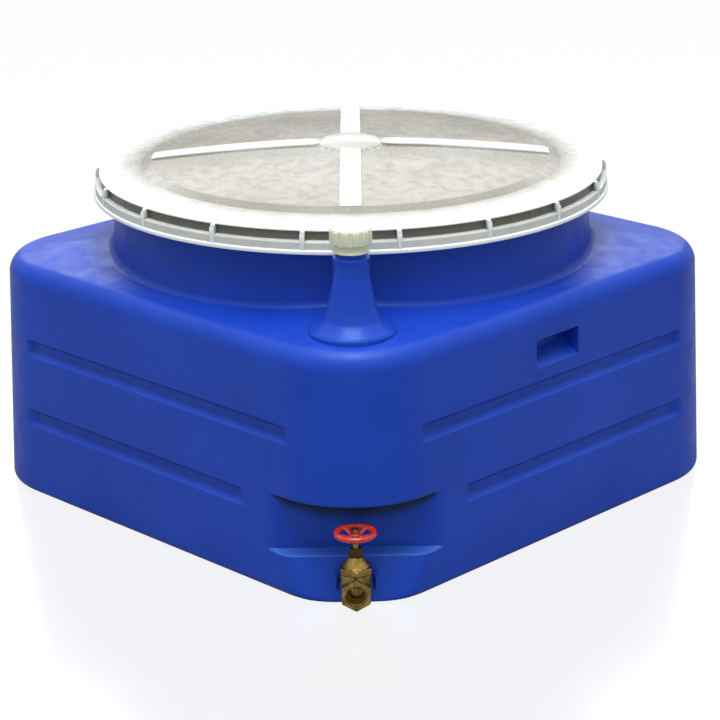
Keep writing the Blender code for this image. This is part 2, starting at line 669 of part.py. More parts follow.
def lid_profile():
    """Return the lid's profile about its axis, heights measured from the lip."""
    crown = dome_rise(LID_BOSS_RADIUS)
    top = [(0.0, crown + LID_BOSS_RISE)]
    top += [(LID_BOSS_RADIUS * reach, crown + LID_BOSS_RISE * rise) for reach, rise in LID_BOSS_SHAPE]
    top += [(radius, dome_rise(radius)) for radius in dome_radii(LID_DOME_STEPS)]
    top += [(LID_STEP_RADIUS, LID_STEP_Z), (LID_LIP_RADIUS, 0.0)]
    skirt_z = -LID_BAND_HEIGHT
    bead_z = LID_BEAD_HEIGHT - LID_SKIRT_HEIGHT
    skirt = [(LID_LIP_RADIUS, -LID_THICKNESS), (LID_BAND_RADIUS, -LID_THICKNESS), (LID_BAND_RADIUS, skirt_z),
             (LID_SKIRT_RADIUS, skirt_z - LID_RIB_DEPTH), (LID_SKIRT_RADIUS, bead_z),
             (LID_BEAD_RADIUS, bead_z - LID_RIB_DEPTH), (LID_BEAD_RADIUS, -LID_SKIRT_HEIGHT)]
    inner_skirt = LID_SKIRT_RADIUS - LID_THICKNESS
    inner_band = LID_BAND_RADIUS - LID_BAND_THICKNESS
    seal_inner = RIM_RADIUS - WALL
    under = [(inner_skirt, -LID_SKIRT_HEIGHT), (inner_skirt, skirt_z - LID_THICKNESS),
             (inner_band, skirt_z), (inner_band, -SEAL_LAND), (seal_inner, -SEAL_LAND),
             (seal_inner - LID_THICKNESS, -LID_THICKNESS + LID_RIB_DEPTH),
             (LID_STEP_RADIUS, LID_STEP_Z - LID_THICKNESS)]
    under_dome = reversed(dome_radii(LID_DOME_STEPS - 1))
    under += [(radius, dome_rise(radius) - LID_THICKNESS) for radius in under_dome]
    under += [(0.0, crown - LID_THICKNESS + LID_BOSS_HOLLOW)]
    return top + skirt + under


def lid_ribs():
    """Return the sixteen upright ribs of the lid's skirt."""
    ribs = []
    low = LID_BEAD_HEIGHT - LID_SKIRT_HEIGHT - LID_RIB_DEPTH
    for index in range(LID_RIBS):
        angle = LID_RIB_TURN + (index + 0.5) * 2 * math.pi / LID_RIBS
        ribs.append(box(f"lid_rib_{index}", (LID_BAND_RADIUS - LID_THICKNESS / 2, -LID_RIB_WIDTH / 2, low),
                        (LID_SKIRT_RADIUS + LID_RIB_DEPTH, LID_RIB_WIDTH / 2, -LID_THICKNESS / 2),
                        rotation=(0.0, 0.0, angle)))
    return ribs


def lid_bars():
    """Return the four radial bars on the lid's dome, two along each diagonal of the tank."""
    bars = []
    embed = LID_THICKNESS / 2
    radii = dome_radii(LID_DOME_STEPS)
    upper = [(radius, dome_rise(radius) + LID_BAR_HEIGHT) for radius in radii]
    lower = [(radius, dome_rise(radius) - embed) for radius in radii]
    upper[0] = (LID_BOSS_RADIUS - LID_THICKNESS, upper[0][1])
    lower[0] = (LID_BOSS_RADIUS - LID_THICKNESS, lower[0][1])
    upper[-1] = (LID_DOME_RADIUS - LID_BAR_HEIGHT, upper[-1][1])
    outline = upper + list(reversed(lower))
    for index in range(4):
        angle = (index + 0.5) * math.pi / 2
        bars.append(prism(f"lid_bar_{index}", outline, -LID_BAR_WIDTH / 2, LID_BAR_WIDTH / 2,
                          rotation=(0.0, 0.0, angle)))
    return bars


def build_lid():
    """Build the screw lid: lip, stepped dome with a cross of bars, and ribbed skirt."""
    lid = turned("lid", lid_profile(), LID_IVORY, location=(0.0, 0.0, LID_Z), steps=ROUND_STEPS)
    fuse(lid, join_meshes("lid_bars", lid_bars(), location=(0.0, 0.0, LID_Z)))
    fuse(lid, join_meshes("lid_ribs", lid_ribs(), location=(0.0, 0.0, LID_Z)))
    return lid


def build_lid_seal():
    """Build the seal ring between the tank's rim and the lid's land."""
    middle = RIM_RADIUS - WALL / 2
    low = RIM_Z + GAP
    profile = tube_profile(middle + SEAL_WIDTH / 2, middle - SEAL_WIDTH / 2, low, low + SEAL_HEIGHT)
    return turned("lid_seal", profile, SEAL_RUBBER, steps=ROUND_STEPS)


def build_spout_cap():
    """Build the spout's screw cap: smooth collar below, ribbed grip above."""
    inner = SPOUT_FINISH_RADIUS + THREAD_GAP
    shoulder = CAP_Z + CAP_COLLAR_HEIGHT
    ease = CAP_TOP_THICKNESS / 3
    profile = [(0.0, CAP_TOP_Z), (CAP_GRIP_RADIUS - ease, CAP_TOP_Z), (CAP_GRIP_RADIUS, CAP_TOP_Z - ease),
               (CAP_GRIP_RADIUS, shoulder), (CAP_COLLAR_RADIUS, shoulder - ease), (CAP_COLLAR_RADIUS, CAP_Z),
               (inner, CAP_Z), (inner, CAP_TOP_Z - CAP_TOP_THICKNESS), (0.0, CAP_TOP_Z - CAP_TOP_THICKNESS)]
    cap = turned("spout_cap", profile, CAP_IVORY, parent=SPOUT_AXIS, steps=3 * CAP_RIBS)
    ribs = []
    low = (CAP_GRIP_RADIUS - CAP_RIB_HEIGHT, -CAP_RIB_WIDTH / 2, shoulder + ease)
    high = (CAP_GRIP_RADIUS + CAP_RIB_HEIGHT, CAP_RIB_WIDTH / 2, CAP_TOP_Z - 2 * ease)
    for index in range(CAP_RIBS):
        angle = (index + 0.5) * 2 * math.pi / CAP_RIBS
        ribs.append(box(f"cap_rib_{index}", low, high, rotation=(0.0, 0.0, angle)))
    fuse(cap, join_meshes("cap_ribs", ribs, parent=SPOUT_AXIS))
    return cap


def build_spout_cap_liner():
    """Build the cap's soft liner disc, which seals the spout's mouth."""
    low = spout_finish_top() + GAP
    profile = cylinder_profile(SPOUT_FINISH_RADIUS, low, low + CAP_LINER_THICKNESS)
    return turned("spout_cap_liner", profile, LINER_FOAM, parent=SPOUT_AXIS)


def build_drain_fitting():
    """Build the pipe nipple through the drain boss with its washers and lock nuts."""
    inner_washer = DRAIN_INNER_FACE - GAP - WASHER_THICKNESS
    inner_nut = inner_washer - GAP - LOCK_NUT_THICKNESS
    tail = inner_nut - NIPPLE_INNER_TAIL
    head = VALVE_INLET + VALVE_SOCKET_DEPTH - GAP
    hole = NIPPLE_RADIUS + THREAD_GAP
    turned("drain_nipple", tube_profile(NIPPLE_RADIUS, NIPPLE_BORE_RADIUS, tail, head), VALVE_BRASS,
           parent=DRAIN_AXIS)
    turned("inner_washer", tube_profile(WASHER_RADIUS, hole, inner_washer, inner_washer + WASHER_THICKNESS),
           SEAL_RUBBER, parent=DRAIN_AXIS)
    outer_washer = DRAIN_OUTER_FACE + GAP
    turned("outer_washer", tube_profile(WASHER_RADIUS, hole, outer_washer, outer_washer + WASHER_THICKNESS),
           SEAL_RUBBER, parent=DRAIN_AXIS)
    hexagon_nut("inner_lock_nut", INNER_NUT_FLATS, LOCK_NUT_THICKNESS, hole, NUT_CHAMFER, VALVE_BRASS,
                DRAIN_AXIS, (0.0, 0.0, inner_nut))
    outer_nut = outer_washer + WASHER_THICKNESS + GAP
    hexagon_nut("outer_lock_nut", OUTER_NUT_FLATS, LOCK_NUT_THICKNESS, hole, NUT_CHAMFER, VALVE_BRASS,
                DRAIN_AXIS, (0.0, 0.0, outer_nut))


def build_valve_body():
    """Build the valve's body: upright chamber, hexagon ends and the way through."""
    foot = DRAIN_Z - CHAMBER_FOOT_DROP
    top = DRAIN_Z + CHAMBER_TOP_RISE
    angles = [step * math.pi / 10 for step in range(5, 0, -1)]
    curve = [(CHAMBER_RADIUS * math.sin(angle), DRAIN_Z - CHAMBER_FOOT_DROP * math.cos(angle))
             for angle in angles]
    profile = [(0.0, top), (CHAMBER_RADIUS - CHAMBER_RIM_EASE, top),
               (CHAMBER_RADIUS - CHAMBER_RIM_EASE / 2, top - CHAMBER_RIM_HEIGHT), *curve, (0.0, foot)]
    body = turned("valve_body", profile, VALVE_BRASS, parent=STEM_AXIS)
    ends = {"valve_inlet_hexagon": VALVE_INLET, "valve_outlet_hexagon": VALVE_OUTLET - VALVE_END_LENGTH}
    for name, start in ends.items():
        fuse(body, hexagon_nut(name, VALVE_END_FLATS, VALVE_END_LENGTH, 0.0, NUT_CHAMFER, parent=DRAIN_AXIS,
                               location=(0.0, 0.0, start), turn=math.radians(30)))
    cavity_foot = DRAIN_Z - GATE_RADIUS - SLIDE_GAP
    chamber = [(0.0, top + CUTTER_MARGIN), (CHAMBER_CAVITY_RADIUS, top + CUTTER_MARGIN),
               (CHAMBER_CAVITY_RADIUS, DRAIN_Z), (CHAMBER_CAVITY_FOOT_RADIUS, cavity_foot),
               (0.0, cavity_foot)]
    cut(body, turned("valve_chamber", chamber, parent=STEM_AXIS))
    inlet_radius = NIPPLE_RADIUS + THREAD_GAP
    outlet_end = VALVE_OUTLET + CUTTER_MARGIN
    inlet_end = VALVE_INLET - CUTTER_MARGIN
    outlet_step = VALVE_OUTLET - VALVE_SOCKET_DEPTH
    inlet_step = VALVE_INLET + VALVE_SOCKET_DEPTH
    way = [(0.0, outlet_end), (VALVE_OUTLET_RADIUS, outlet_end), (VALVE_OUTLET_RADIUS, outlet_step),
           (VALVE_BORE_RADIUS, outlet_step), (VALVE_BORE_RADIUS, inlet_step), (inlet_radius, inlet_step),
           (inlet_radius, inlet_end), (0.0, inlet_end)]
    cut(body, turned("valve_way", way, parent=DRAIN_AXIS))
    return body


def build_bonnet():
    """Build the bonnet with its packing box and the way for gate and stem, and the gasket below it."""
    dome = [(BONNET_DOME_RADIUS * reach, BONNET_HEX_TOP_Z + BONNET_DOME_HEIGHT * rise)
            for reach, rise in BONNET_DOME_SHAPE]
    spigot_top = BONNET_CREST_Z + BONNET_SPIGOT_HEIGHT
    profile = [(0.0, spigot_top), (BONNET_SPIGOT_RADIUS, spigot_top), (BONNET_SPIGOT_RADIUS, BONNET_CREST_Z),
               (BONNET_CREST_RADIUS, BONNET_CREST_Z), *dome, (BONNET_DOME_RADIUS, BONNET_Z + GAP),
               (0.0, BONNET_Z + GAP)]
    bonnet = turned("valve_bonnet", profile, VALVE_BRASS, parent=STEM_AXIS)
    fuse(bonnet, hexagon_nut("bonnet_hexagon", BONNET_FLATS, BONNET_HEX_HEIGHT, 0.0, BONNET_CHAMFER,
                             parent=STEM_AXIS, location=(0.0, 0.0, BONNET_Z), turn=math.radians(30)))
    ceiling = DRAIN_Z + GATE_HUB_RISE + GATE_TRAVEL + SLIDE_GAP
    hub_way = GATE_HUB_RADIUS + SLIDE_GAP * 2
    below = BONNET_Z - CUTTER_MARGIN
    cavity = [(0.0, ceiling), (hub_way, ceiling), (hub_way, ceiling - BONNET_HUB_WAY_HEIGHT),
              (BONNET_CAVITY_TOP_RADIUS, BONNET_HEX_TOP_Z + SLIDE_GAP),
              (CHAMBER_CAVITY_RADIUS, BONNET_Z + BONNET_HEX_HEIGHT / 2), (CHAMBER_CAVITY_RADIUS, below),
              (0.0, below)]
    cut(bonnet, turned("bonnet_cavity", cavity, parent=STEM_AXIS))
    top = spigot_top + CUTTER_MARGIN
    packing_box = cylinder_profile(PACKING_BOX_RADIUS, PACKING_BOX_Z, top)
    cut(bonnet, turned("packing_box", packing_box, parent=STEM_AXIS))
    way = cylinder_profile(STEM_RADIUS + SLIDE_GAP, ceiling - CUTTER_MARGIN, top)
    cut(bonnet, turned("stem_way", way, parent=STEM_AXIS, steps=PIN_STEPS))
    gasket = tube_profile(GASKET_RADIUS, CHAMBER_CAVITY_RADIUS, GASKET_Z, GASKET_Z + GASKET_THICKNESS)
    turned("bonnet_gasket", gasket, PACKING_GREY, parent=STEM_AXIS)
    return bonnet


def build_gland():
    """Build the packing ring, the gland follower and the gland nut round the stem."""
    hole = STEM_RADIUS + SLIDE_GAP
    fit = PACKING_BOX_RADIUS - GAP
    packing_z = PACKING_BOX_Z + GAP + STEM_COLLAR_HEIGHT + GAP
    packing_top = packing_z + PACKING_HEIGHT
    turned("gland_packing", tube_profile(fit, hole, packing_z, packing_top), PACKING_GREY, parent=STEM_AXIS,
           steps=PIN_STEPS)
    ceiling = GLAND_NUT_TOP_Z - GLAND_NUT_ROOF - GAP
    spigot_top = BONNET_CREST_Z + BONNET_SPIGOT_HEIGHT + GAP
    follower = [(BONNET_SPIGOT_RADIUS, ceiling), (BONNET_SPIGOT_RADIUS, spigot_top), (fit, spigot_top),
                (fit, packing_top + GAP), (hole, packing_top + GAP), (hole, ceiling)]
    turned("gland_follower", follower, VALVE_BRASS, parent=STEM_AXIS, steps=PIN_STEPS)
    nut = hexagon_nut("gland_nut", GLAND_NUT_FLATS, GLAND_NUT_HEIGHT, hole, GLAND_NUT_CHAMFER, VALVE_BRASS,
                      STEM_AXIS, (0.0, 0.0, GLAND_NUT_Z))
    hollow = cylinder_profile(BONNET_SPIGOT_RADIUS + THREAD_GAP, GLAND_NUT_Z - CUTTER_MARGIN, ceiling + GAP)
    cut(nut, turned("gland_nut_hollow", hollow, parent=STEM_AXIS))


def build_gate():
    """Build the gate: a wedge disc with a hub that the stem's thread lifts."""
    bm = bmesh.new()
    bmesh.ops.create_cone(bm, cap_ends=True, segments=SMALL_ROUND_STEPS, radius1=GATE_RADIUS,
                          radius2=GATE_RADIUS, depth=GATE_THICKNESS)
    bmesh.ops.rotate(bm, verts=bm.verts, matrix=Matrix.Rotation(math.radians(90), 3, "Y"))
    for vert in bm.verts:
        vert.co.x += math.copysign(GATE_TAPER * vert.co.z / GATE_RADIUS, vert.co.x)
    gate = add_object("valve_gate", mesh_from("valve_gate", bm), VALVE_BRASS, STEM_AXIS, (0.0, 0.0, DRAIN_Z))
    hub = cylinder_profile(GATE_HUB_RADIUS, 0.0, GATE_HUB_RISE)
    fuse(gate, turned("gate_hub", hub, parent=STEM_AXIS, location=(0.0, 0.0, DRAIN_Z)))
    below = -GATE_RADIUS - CUTTER_MARGIN
    way = cylinder_profile(STEM_RADIUS + THREAD_GAP, below, GATE_HUB_RISE + CUTTER_MARGIN)
    cut(gate, turned("gate_stem_way", way, parent=STEM_AXIS, location=(0.0, 0.0, DRAIN_Z), steps=PIN_STEPS))
    return gate


def build_stem():
    """Build the stem: screw end, thrust collar, seat for the wheel and tip for its nut."""
    collar = PACKING_BOX_Z + GAP
    collar_top = collar + STEM_COLLAR_HEIGHT
    profile = [(0.0, STEM_TOP_Z), (STEM_TIP_RADIUS, STEM_TOP_Z), (STEM_TIP_RADIUS, WHEEL_HUB_TOP_Z),
               (WHEEL_SEAT_RADIUS, WHEEL_HUB_TOP_Z),
               (WHEEL_SEAT_RADIUS, WHEEL_HUB_Z), (STEM_RADIUS, WHEEL_HUB_Z - GAP), (STEM_RADIUS, collar_top),
               (STEM_COLLAR_RADIUS, collar_top), (STEM_COLLAR_RADIUS, collar), (STEM_RADIUS, collar),
               (STEM_RADIUS, STEM_FOOT_Z), (0.0, STEM_FOOT_Z)]
    return turned("valve_stem", profile, VALVE_BRASS, parent=STEM_AXIS, steps=PIN_STEPS)


def build_handwheel():
    """Build the handwheel with its hub, spokes and round rim, then its washer and nut."""
    hub_ease = WHEEL_SPOKE_THICKNESS / 3
    hub = [(WHEEL_HUB_RADIUS - hub_ease, WHEEL_HUB_TOP_Z), (WHEEL_HUB_RADIUS, WHEEL_HUB_TOP_Z - hub_ease),
           (WHEEL_HUB_RADIUS, WHEEL_HUB_Z), (WHEEL_SEAT_RADIUS + THREAD_GAP, WHEEL_HUB_Z),
           (WHEEL_SEAT_RADIUS + THREAD_GAP, WHEEL_HUB_TOP_Z)]
    wheel = turned("handwheel", hub, WHEEL_RED, parent=STEM_AXIS)
    half = WHEEL_RIM_THICKNESS / 2
    middle = WHEEL_RADIUS - half
    rim = [(middle + half * math.cos(step * math.pi / 3), WHEEL_Z - half * math.sin(step * math.pi / 3))
           for step in range(6)]
    fuse(wheel, turned("wheel_rim", rim, parent=STEM_AXIS, steps=WHEEL_RIM_STEPS))
    spokes = []
    level = WHEEL_HUB_Z + WHEEL_HUB_HEIGHT / 2
    thick = WHEEL_SPOKE_THICKNESS / 2
    inner = WHEEL_HUB_RADIUS - hub_ease
    thin = thick * WHEEL_SPOKE_TAPER
    outline = [(inner, level - thick), (middle, WHEEL_Z - thin),
               (middle, WHEEL_Z + thin), (inner, level + thick)]
    for index in range(WHEEL_SPOKES):
        spokes.append(prism(f"wheel_spoke_{index}", outline, -WHEEL_SPOKE_WIDTH / 2, WHEEL_SPOKE_WIDTH / 2,
                            rotation=(0.0, 0.0, index * 2 * math.pi / WHEEL_SPOKES)))
    fuse(wheel, join_meshes("wheel_spokes", spokes, parent=STEM_AXIS))
    hole = STEM_TIP_RADIUS + THREAD_GAP
    washer = tube_profile(WHEEL_WASHER_RADIUS, hole, WHEEL_WASHER_Z, WHEEL_WASHER_Z + WHEEL_WASHER_THICKNESS)
    turned("wheel_washer", washer, VALVE_BRASS, parent=STEM_AXIS, steps=PIN_STEPS)
    hexagon_nut("wheel_nut", WHEEL_NUT_FLATS, WHEEL_NUT_HEIGHT, hole, WHEEL_NUT_CHAMFER, VALVE_BRASS,
                STEM_AXIS, (0.0, 0.0, WHEEL_NUT_Z))


build_tank()
build_lid_seal()
build_lid()
build_spout_cap_liner()
build_spout_cap()
build_drain_fitting()
build_valve_body()
build_bonnet()
build_gland()
build_gate()
build_stem()
build_handwheel()
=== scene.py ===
"""Looks of the live fish tank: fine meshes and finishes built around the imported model.

Every piece stands where its CAD node stands, in metres, with +Z up. The tank's walls face X
and Y. The spout and the drain valve lie on the tank's diagonal towards +X -Y.
"""
from __future__ import annotations

import json
import logging
import math
from collections.abc import Sequence
from dataclasses import dataclass, field
from enum import Enum
from functools import cached_property

import bmesh
import bpy
from mathutils import Matrix, Vector

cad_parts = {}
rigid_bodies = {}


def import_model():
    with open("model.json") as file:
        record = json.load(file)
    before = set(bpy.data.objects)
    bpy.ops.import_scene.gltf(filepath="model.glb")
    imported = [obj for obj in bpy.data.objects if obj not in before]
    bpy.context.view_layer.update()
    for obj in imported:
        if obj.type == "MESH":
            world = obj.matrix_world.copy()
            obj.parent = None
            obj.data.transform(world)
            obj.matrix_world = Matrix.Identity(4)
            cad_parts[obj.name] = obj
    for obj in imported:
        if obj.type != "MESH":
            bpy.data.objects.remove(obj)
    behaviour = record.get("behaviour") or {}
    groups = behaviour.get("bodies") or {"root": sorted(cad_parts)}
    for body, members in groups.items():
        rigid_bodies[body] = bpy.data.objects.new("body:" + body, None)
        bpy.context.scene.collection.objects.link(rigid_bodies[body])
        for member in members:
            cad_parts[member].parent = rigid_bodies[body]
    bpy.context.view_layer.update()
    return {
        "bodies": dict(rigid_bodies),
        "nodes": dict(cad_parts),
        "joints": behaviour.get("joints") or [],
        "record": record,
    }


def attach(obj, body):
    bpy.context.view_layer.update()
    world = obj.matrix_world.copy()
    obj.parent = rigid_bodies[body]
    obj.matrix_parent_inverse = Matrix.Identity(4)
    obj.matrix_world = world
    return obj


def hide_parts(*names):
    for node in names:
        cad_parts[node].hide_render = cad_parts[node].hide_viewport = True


LOG = logging.getLogger("live_fish_tank")
Point = tuple[float, float]
Place = tuple[float, float, float]
Color = tuple[float, float, float]
ROOT_TWO = math.sqrt(2.0)
# Farther out than any wall, where no pressed form sets a limit.
NO_LIMIT = 9.0
# White, for sockets that take four numbers.
WHITE = (1.0, 1.0, 1.0, 1.0)
# One turn of the drain's pipe threads.
THREAD_PITCH = 0.00231
# A corner that turns by less than this isn't rounded.
LEAST_TURN = math.radians(8)
# The share of a side that the rounding of one corner may take.
MOST_OF_SIDE = 0.45


# Shapes of curves

def smooth_step(low: float, high: float, value: float) -> float:
    """Return 0 below low, 1 above high and an eased value between them.

    Args:
        low: where the step starts.
        high: where the step ends.
        value: the place asked about.

    Returns:
        The eased share.
    """
    share = min(max((value - low) / (high - low), 0.0), 1.0)
    return share * share * (3.0 - 2.0 * share)


def smooth_min(first: float, second: float, softness: float) -> float:
    """Return the smaller of two values, rounded where they are close.

    Args:
        first: one value.
        second: the other value.
        softness: how far apart the values may be to be rounded.

    Returns:
        The rounded minimum.
    """
    near = max(softness - abs(first - second), 0.0) / softness
    return min(first, second) - near * near * softness / 4.0


def smooth_max(first: float, second: float, softness: float) -> float:
    """Return the larger of two values, rounded where they are close.

    Args:
        first: one value.
        second: the other value.
        softness: how far apart the values may be to be rounded.

    Returns:
        The rounded maximum.
    """
    return -smooth_min(-first, -second, softness)


def fillet(points: Sequence[Point], radius: float, steps: int = 4, closed: bool = False) -> list[Point]:
    """Round the corners of a profile.

    Args:
        points: the profile's corners as (radius, height).
        radius: the rounding, cut down where a side is too short for it.
        steps: segments of each rounded corner.
        closed: whether the last corner joins the first.

    Returns:
        The rounded profile.
    """
    count = len(points)
    rounded: list[Point] = []
    for index, (x, z) in enumerate(points):
        if not closed and index in (0, count - 1):
            rounded.append((x, z))
            continue
        corner = Vector((x, z))
        back = Vector(points[index - 1]) - corner
        ahead = Vector(points[(index + 1) % count]) - corner
        turn = math.pi - back.angle(ahead, math.pi)
        if turn < LEAST_TURN:
            rounded.append((x, z))
            continue
        room = min(back.length * MOST_OF_SIDE, ahead.length * MOST_OF_SIDE)
        reach = min(radius * math.tan(turn / 2), room)
        start = corner + back.normalized() * reach
        end = corner + ahead.normalized() * reach
        for step in range(steps + 1):
            share = step / steps
            spot = start.lerp(corner, share).lerp(corner.lerp(end, share), share)
            rounded.append((spot.x, spot.y))
    return rounded


# Mesh making

def add_object(name: str, mesh: bpy.types.Mesh) -> bpy.types.Object:
    """Add a mesh to the scene as an object at the origin.

    Args:
        name: the object's name.
        mesh: its mesh.

    Returns:
        The new object.
    """
    item = bpy.data.objects.new(name, mesh)
    bpy.context.scene.collection.objects.link(item)
    return item


def from_bmesh(name: str, bm: bmesh.types.BMesh, place: Matrix | None = None) -> bpy.types.Object:
    """Turn a closed bmesh into an object with outward faces, its place held in the mesh.

    Args:
        name: the object's name.
        bm: the mesh, which is freed.
        place: where the mesh goes.

    Returns:
        The new object.
    """
    if place is not None:
        bmesh.ops.transform(bm, matrix=place, verts=bm.verts)
    bmesh.ops.recalc_face_normals(bm, faces=bm.faces)
    mesh = bpy.data.meshes.new(name)
    bm.to_mesh(mesh)
    bm.free()
    return add_object(name, mesh)


def skin(name: str, rings: Sequence[Sequence[Vector]], place: Matrix | None = None,
         closed: bool = False) -> bpy.types.Object:
    """Skin a stack of rings of equal count.

    Args:
        name: the object's name.
        rings: the rings, each a loop of points.
        place: where the mesh goes.
        closed: whether the last ring joins the first; if not, both ends are capped.

    Returns:
        The new object.
    """
    bm = bmesh.new()
    rows = [[bm.verts.new(point) for point in ring] for ring in rings]
    pairs = list(zip(rows, rows[1:]))
    if closed:
        pairs.append((rows[-1], rows[0]))
    for lower, upper in pairs:
        for index, corner in enumerate(lower):
            following = (index + 1) % len(lower)
            bm.faces.new((corner, lower[following], upper[following], upper[index]))
    if not closed:
        bm.faces.new(list(reversed(rows[0])))
        bm.faces.new(rows[-1])
    return from_bmesh(name, bm, place)


def lathe(name: str, profile: Sequence[Point], steps: int = 96,
          place: Matrix | None = None) -> bpy.types.Object:
    """Turn a profile about Z. It is a ring unless its first and last points lie on the axis.

    Args:
        name: the object's name.
        profile: (radius, height) points.
        steps: segments round the axis.
        place: where the turned mesh goes.

    Returns:
        The new object.
    """
    on_axis = profile[0][0] == 0.0
    turned = profile[1:-1] if on_axis else profile
    bm = bmesh.new()
    rows = []
    for radius, height in turned:
        row = []
        for step in range(steps):
            angle = step * 2 * math.pi / steps
            row.append(bm.verts.new((radius * math.cos(angle), radius * math.sin(angle), height)))
        rows.append(row)
    pairs = list(zip(rows, rows[1:]))
    if not on_axis:
        pairs.append((rows[-1], rows[0]))
    for upper, lower in pairs:
        for index in range(steps):
            following = (index + 1) % steps
            bm.faces.new((upper[index], lower[index], lower[following], upper[following]))
    if on_axis:
        for row, height in ((rows[0], profile[0][1]), (rows[-1], profile[-1][1])):
            pole = bm.verts.new((0.0, 0.0, height))
            for index in range(steps):
                bm.faces.new((row[index], row[(index + 1) % steps], pole))
    return from_bmesh(name, bm, place)


def rod_profile(radius: float, low: float, high: float, ease: float = 0.0) -> list[Point]:
    """Return the profile of a solid round bar with eased edges.

    Args:
        radius: the bar's radius.
        low: its lower end.
        high: its upper end.
        ease: rounding of its edges.

    Returns:
        The profile from the top down.
    """
    corners = [(0.0, high), (radius, high), (radius, low), (0.0, low)]
    return fillet(corners, ease) if ease else corners


def slab(name: str, outline: Sequence[Point], half_width: float,
         place: Matrix | None = None) -> bpy.types.Object:
    """Extrude an outline in the XZ plane to both sides along Y.

    Args:
        name: the object's name.
        outline: the outline's (x, z) corners.
        half_width: half of the slab's width.
        place: where the slab goes.

    Returns:
        The new object.
    """
    rings = [[Vector((x, side, z)) for x, z in outline] for side in (-half_width, half_width)]
    return skin(name, rings, place)


def flatten(item: bpy.types.Object) -> bpy.types.Object:
    """Apply an object's modifiers and keep the result as its plain mesh.

    Args:
        item: the object with live modifiers.

    Returns:
        The same object.
    """
    bpy.context.view_layer.update()
    shaped = bpy.data.meshes.new_from_object(item.evaluated_get(bpy.context.evaluated_depsgraph_get()))
    item.modifiers.clear()
    item.data = shaped
    return item


def combine(item: bpy.types.Object, tools: Sequence[bpy.types.Object], operation: str) -> bpy.types.Object:
    """Cut, fuse or intersect an object with tools, which are removed.

    Args:
        item: the object that is changed.
        tools: the tools, used in order.
        operation: DIFFERENCE, UNION or INTERSECT.

    Returns:
        The same object.
    """
    for tool in tools:
        modifier = item.modifiers.new(tool.name, "BOOLEAN")
        modifier.operation = operation
        modifier.solver = "EXACT"
        modifier.object = tool
    flatten(item)
    for tool in tools:
        bpy.data.objects.remove(tool, do_unlink=True)
    return item


def join(name: str, items: Sequence[bpy.types.Object]) -> bpy.types.Object:
    """Put several closed meshes into one object, one inside or beside the other.

    Args:
        name: the name of the result.
        items: the objects, which are removed.

    Returns:
        The joined object.
    """
    bm = bmesh.new()
    for item in items:
        bm.from_mesh(item.data)
        bpy.data.objects.remove(item, do_unlink=True)
    mesh = bpy.data.meshes.new(name)
    bm.to_mesh(mesh)
    bm.free()
    return add_object(name, mesh)


def cast(item: bpy.types.Object, voxel: float, passes: int = 3) -> bpy.types.Object:
    """Give a solid the soft edges and inner corners of a casting.

    Args:
        item: the solid.
        voxel: size of the new mesh's cells.
        passes: rounds of smoothing.

    Returns:
        The same object.
    """
    remesh = item.modifiers.new("cells", "REMESH")
    remesh.mode = "VOXEL"
    remesh.voxel_size = voxel
    smooth = item.modifiers.new("soften", "SMOOTH")
    smooth.factor = 0.5
    smooth.iterations = passes
    return flatten(item)


def bevelled(item: bpy.types.Object, width: float, segments: int = 2) -> bpy.types.Object:
    """Round an object's sharp edges.

    Args:
        item: the object.
        width: the bevel's width.
        segments: segments of the bevel.

    Returns:
        The same object.
    """
    bevel = item.modifiers.new("edges", "BEVEL")
    bevel.width = width
    bevel.segments = segments
    bevel.limit_method = "ANGLE"
    bevel.angle_limit = math.radians(30)
    bevel.use_clamp_overlap = True
    return flatten(item)


def hexagon(name: str, flats: float, length: float, chamfer: float, bore: float = 0.0, turn: float = 0.0,
            place: Matrix | None = None) -> bpy.types.Object:
    """Make a hexagon with turned chamfers, standing on its origin along Z.

    Args:
        name: the object's name.
        flats: width across the flats.
        length: length along Z.
        chamfer: how far the chamfers cut the corners.
        bore: radius of the hole, or 0 for none.
        turn: turn about Z in radians.
        place: where the hexagon goes.

    Returns:
        The new object.
    """
    corner = flats / math.sqrt(3)
    ring = [turn + index * math.pi / 3 for index in range(6)]
    rings = [[Vector((corner * math.cos(angle), corner * math.sin(angle), height)) for angle in ring]
             for height in (0.0, length)]
    nut = skin(name, rings)
    over = chamfer / 2
    low = -over * 0.2
    high = length + over * 0.2
    blank = [(corner - chamfer, high), (corner + chamfer, length - chamfer), (corner + chamfer, chamfer),
             (corner - chamfer, low)]
    if bore:
        blank = [*blank, (bore + over, low), (bore, over), (bore, length - over), (bore + over, high)]
    else:
        blank = [(0.0, high), *blank, (0.0, low)]
    combine(nut, [lathe(name + "_blank", blank, 96)], "INTERSECT")
    if place is not None:
        nut.data.transform(place)
    return nut


# Node trees

def plug(tree: bpy.types.NodeTree, socket: bpy.types.NodeSocket, source: object) -> None:
    """Link an input to a socket, or set it to a value.

    Args:
        tree: the input's tree.
        socket: the input.
        source: a value or the socket of another node.
    """
    if isinstance(source, bpy.types.NodeSocket):
        tree.links.new(source, socket)
    else:
        socket.default_value = source


def add_node(tree: bpy.types.NodeTree, kind: str, **values: object) -> bpy.types.Node:
    """Add a node and set or link its inputs.

    Args:
        tree: the tree that gets the node.
        kind: the node's type name.
        **values: socket names, with underscores for spaces, and a value or a socket for each.

    Returns:
        The new node.
    """
    made = tree.nodes.new(kind)
    for name, source in values.items():
        plug(tree, made.inputs[name.replace("_", " ")], source)
    return made


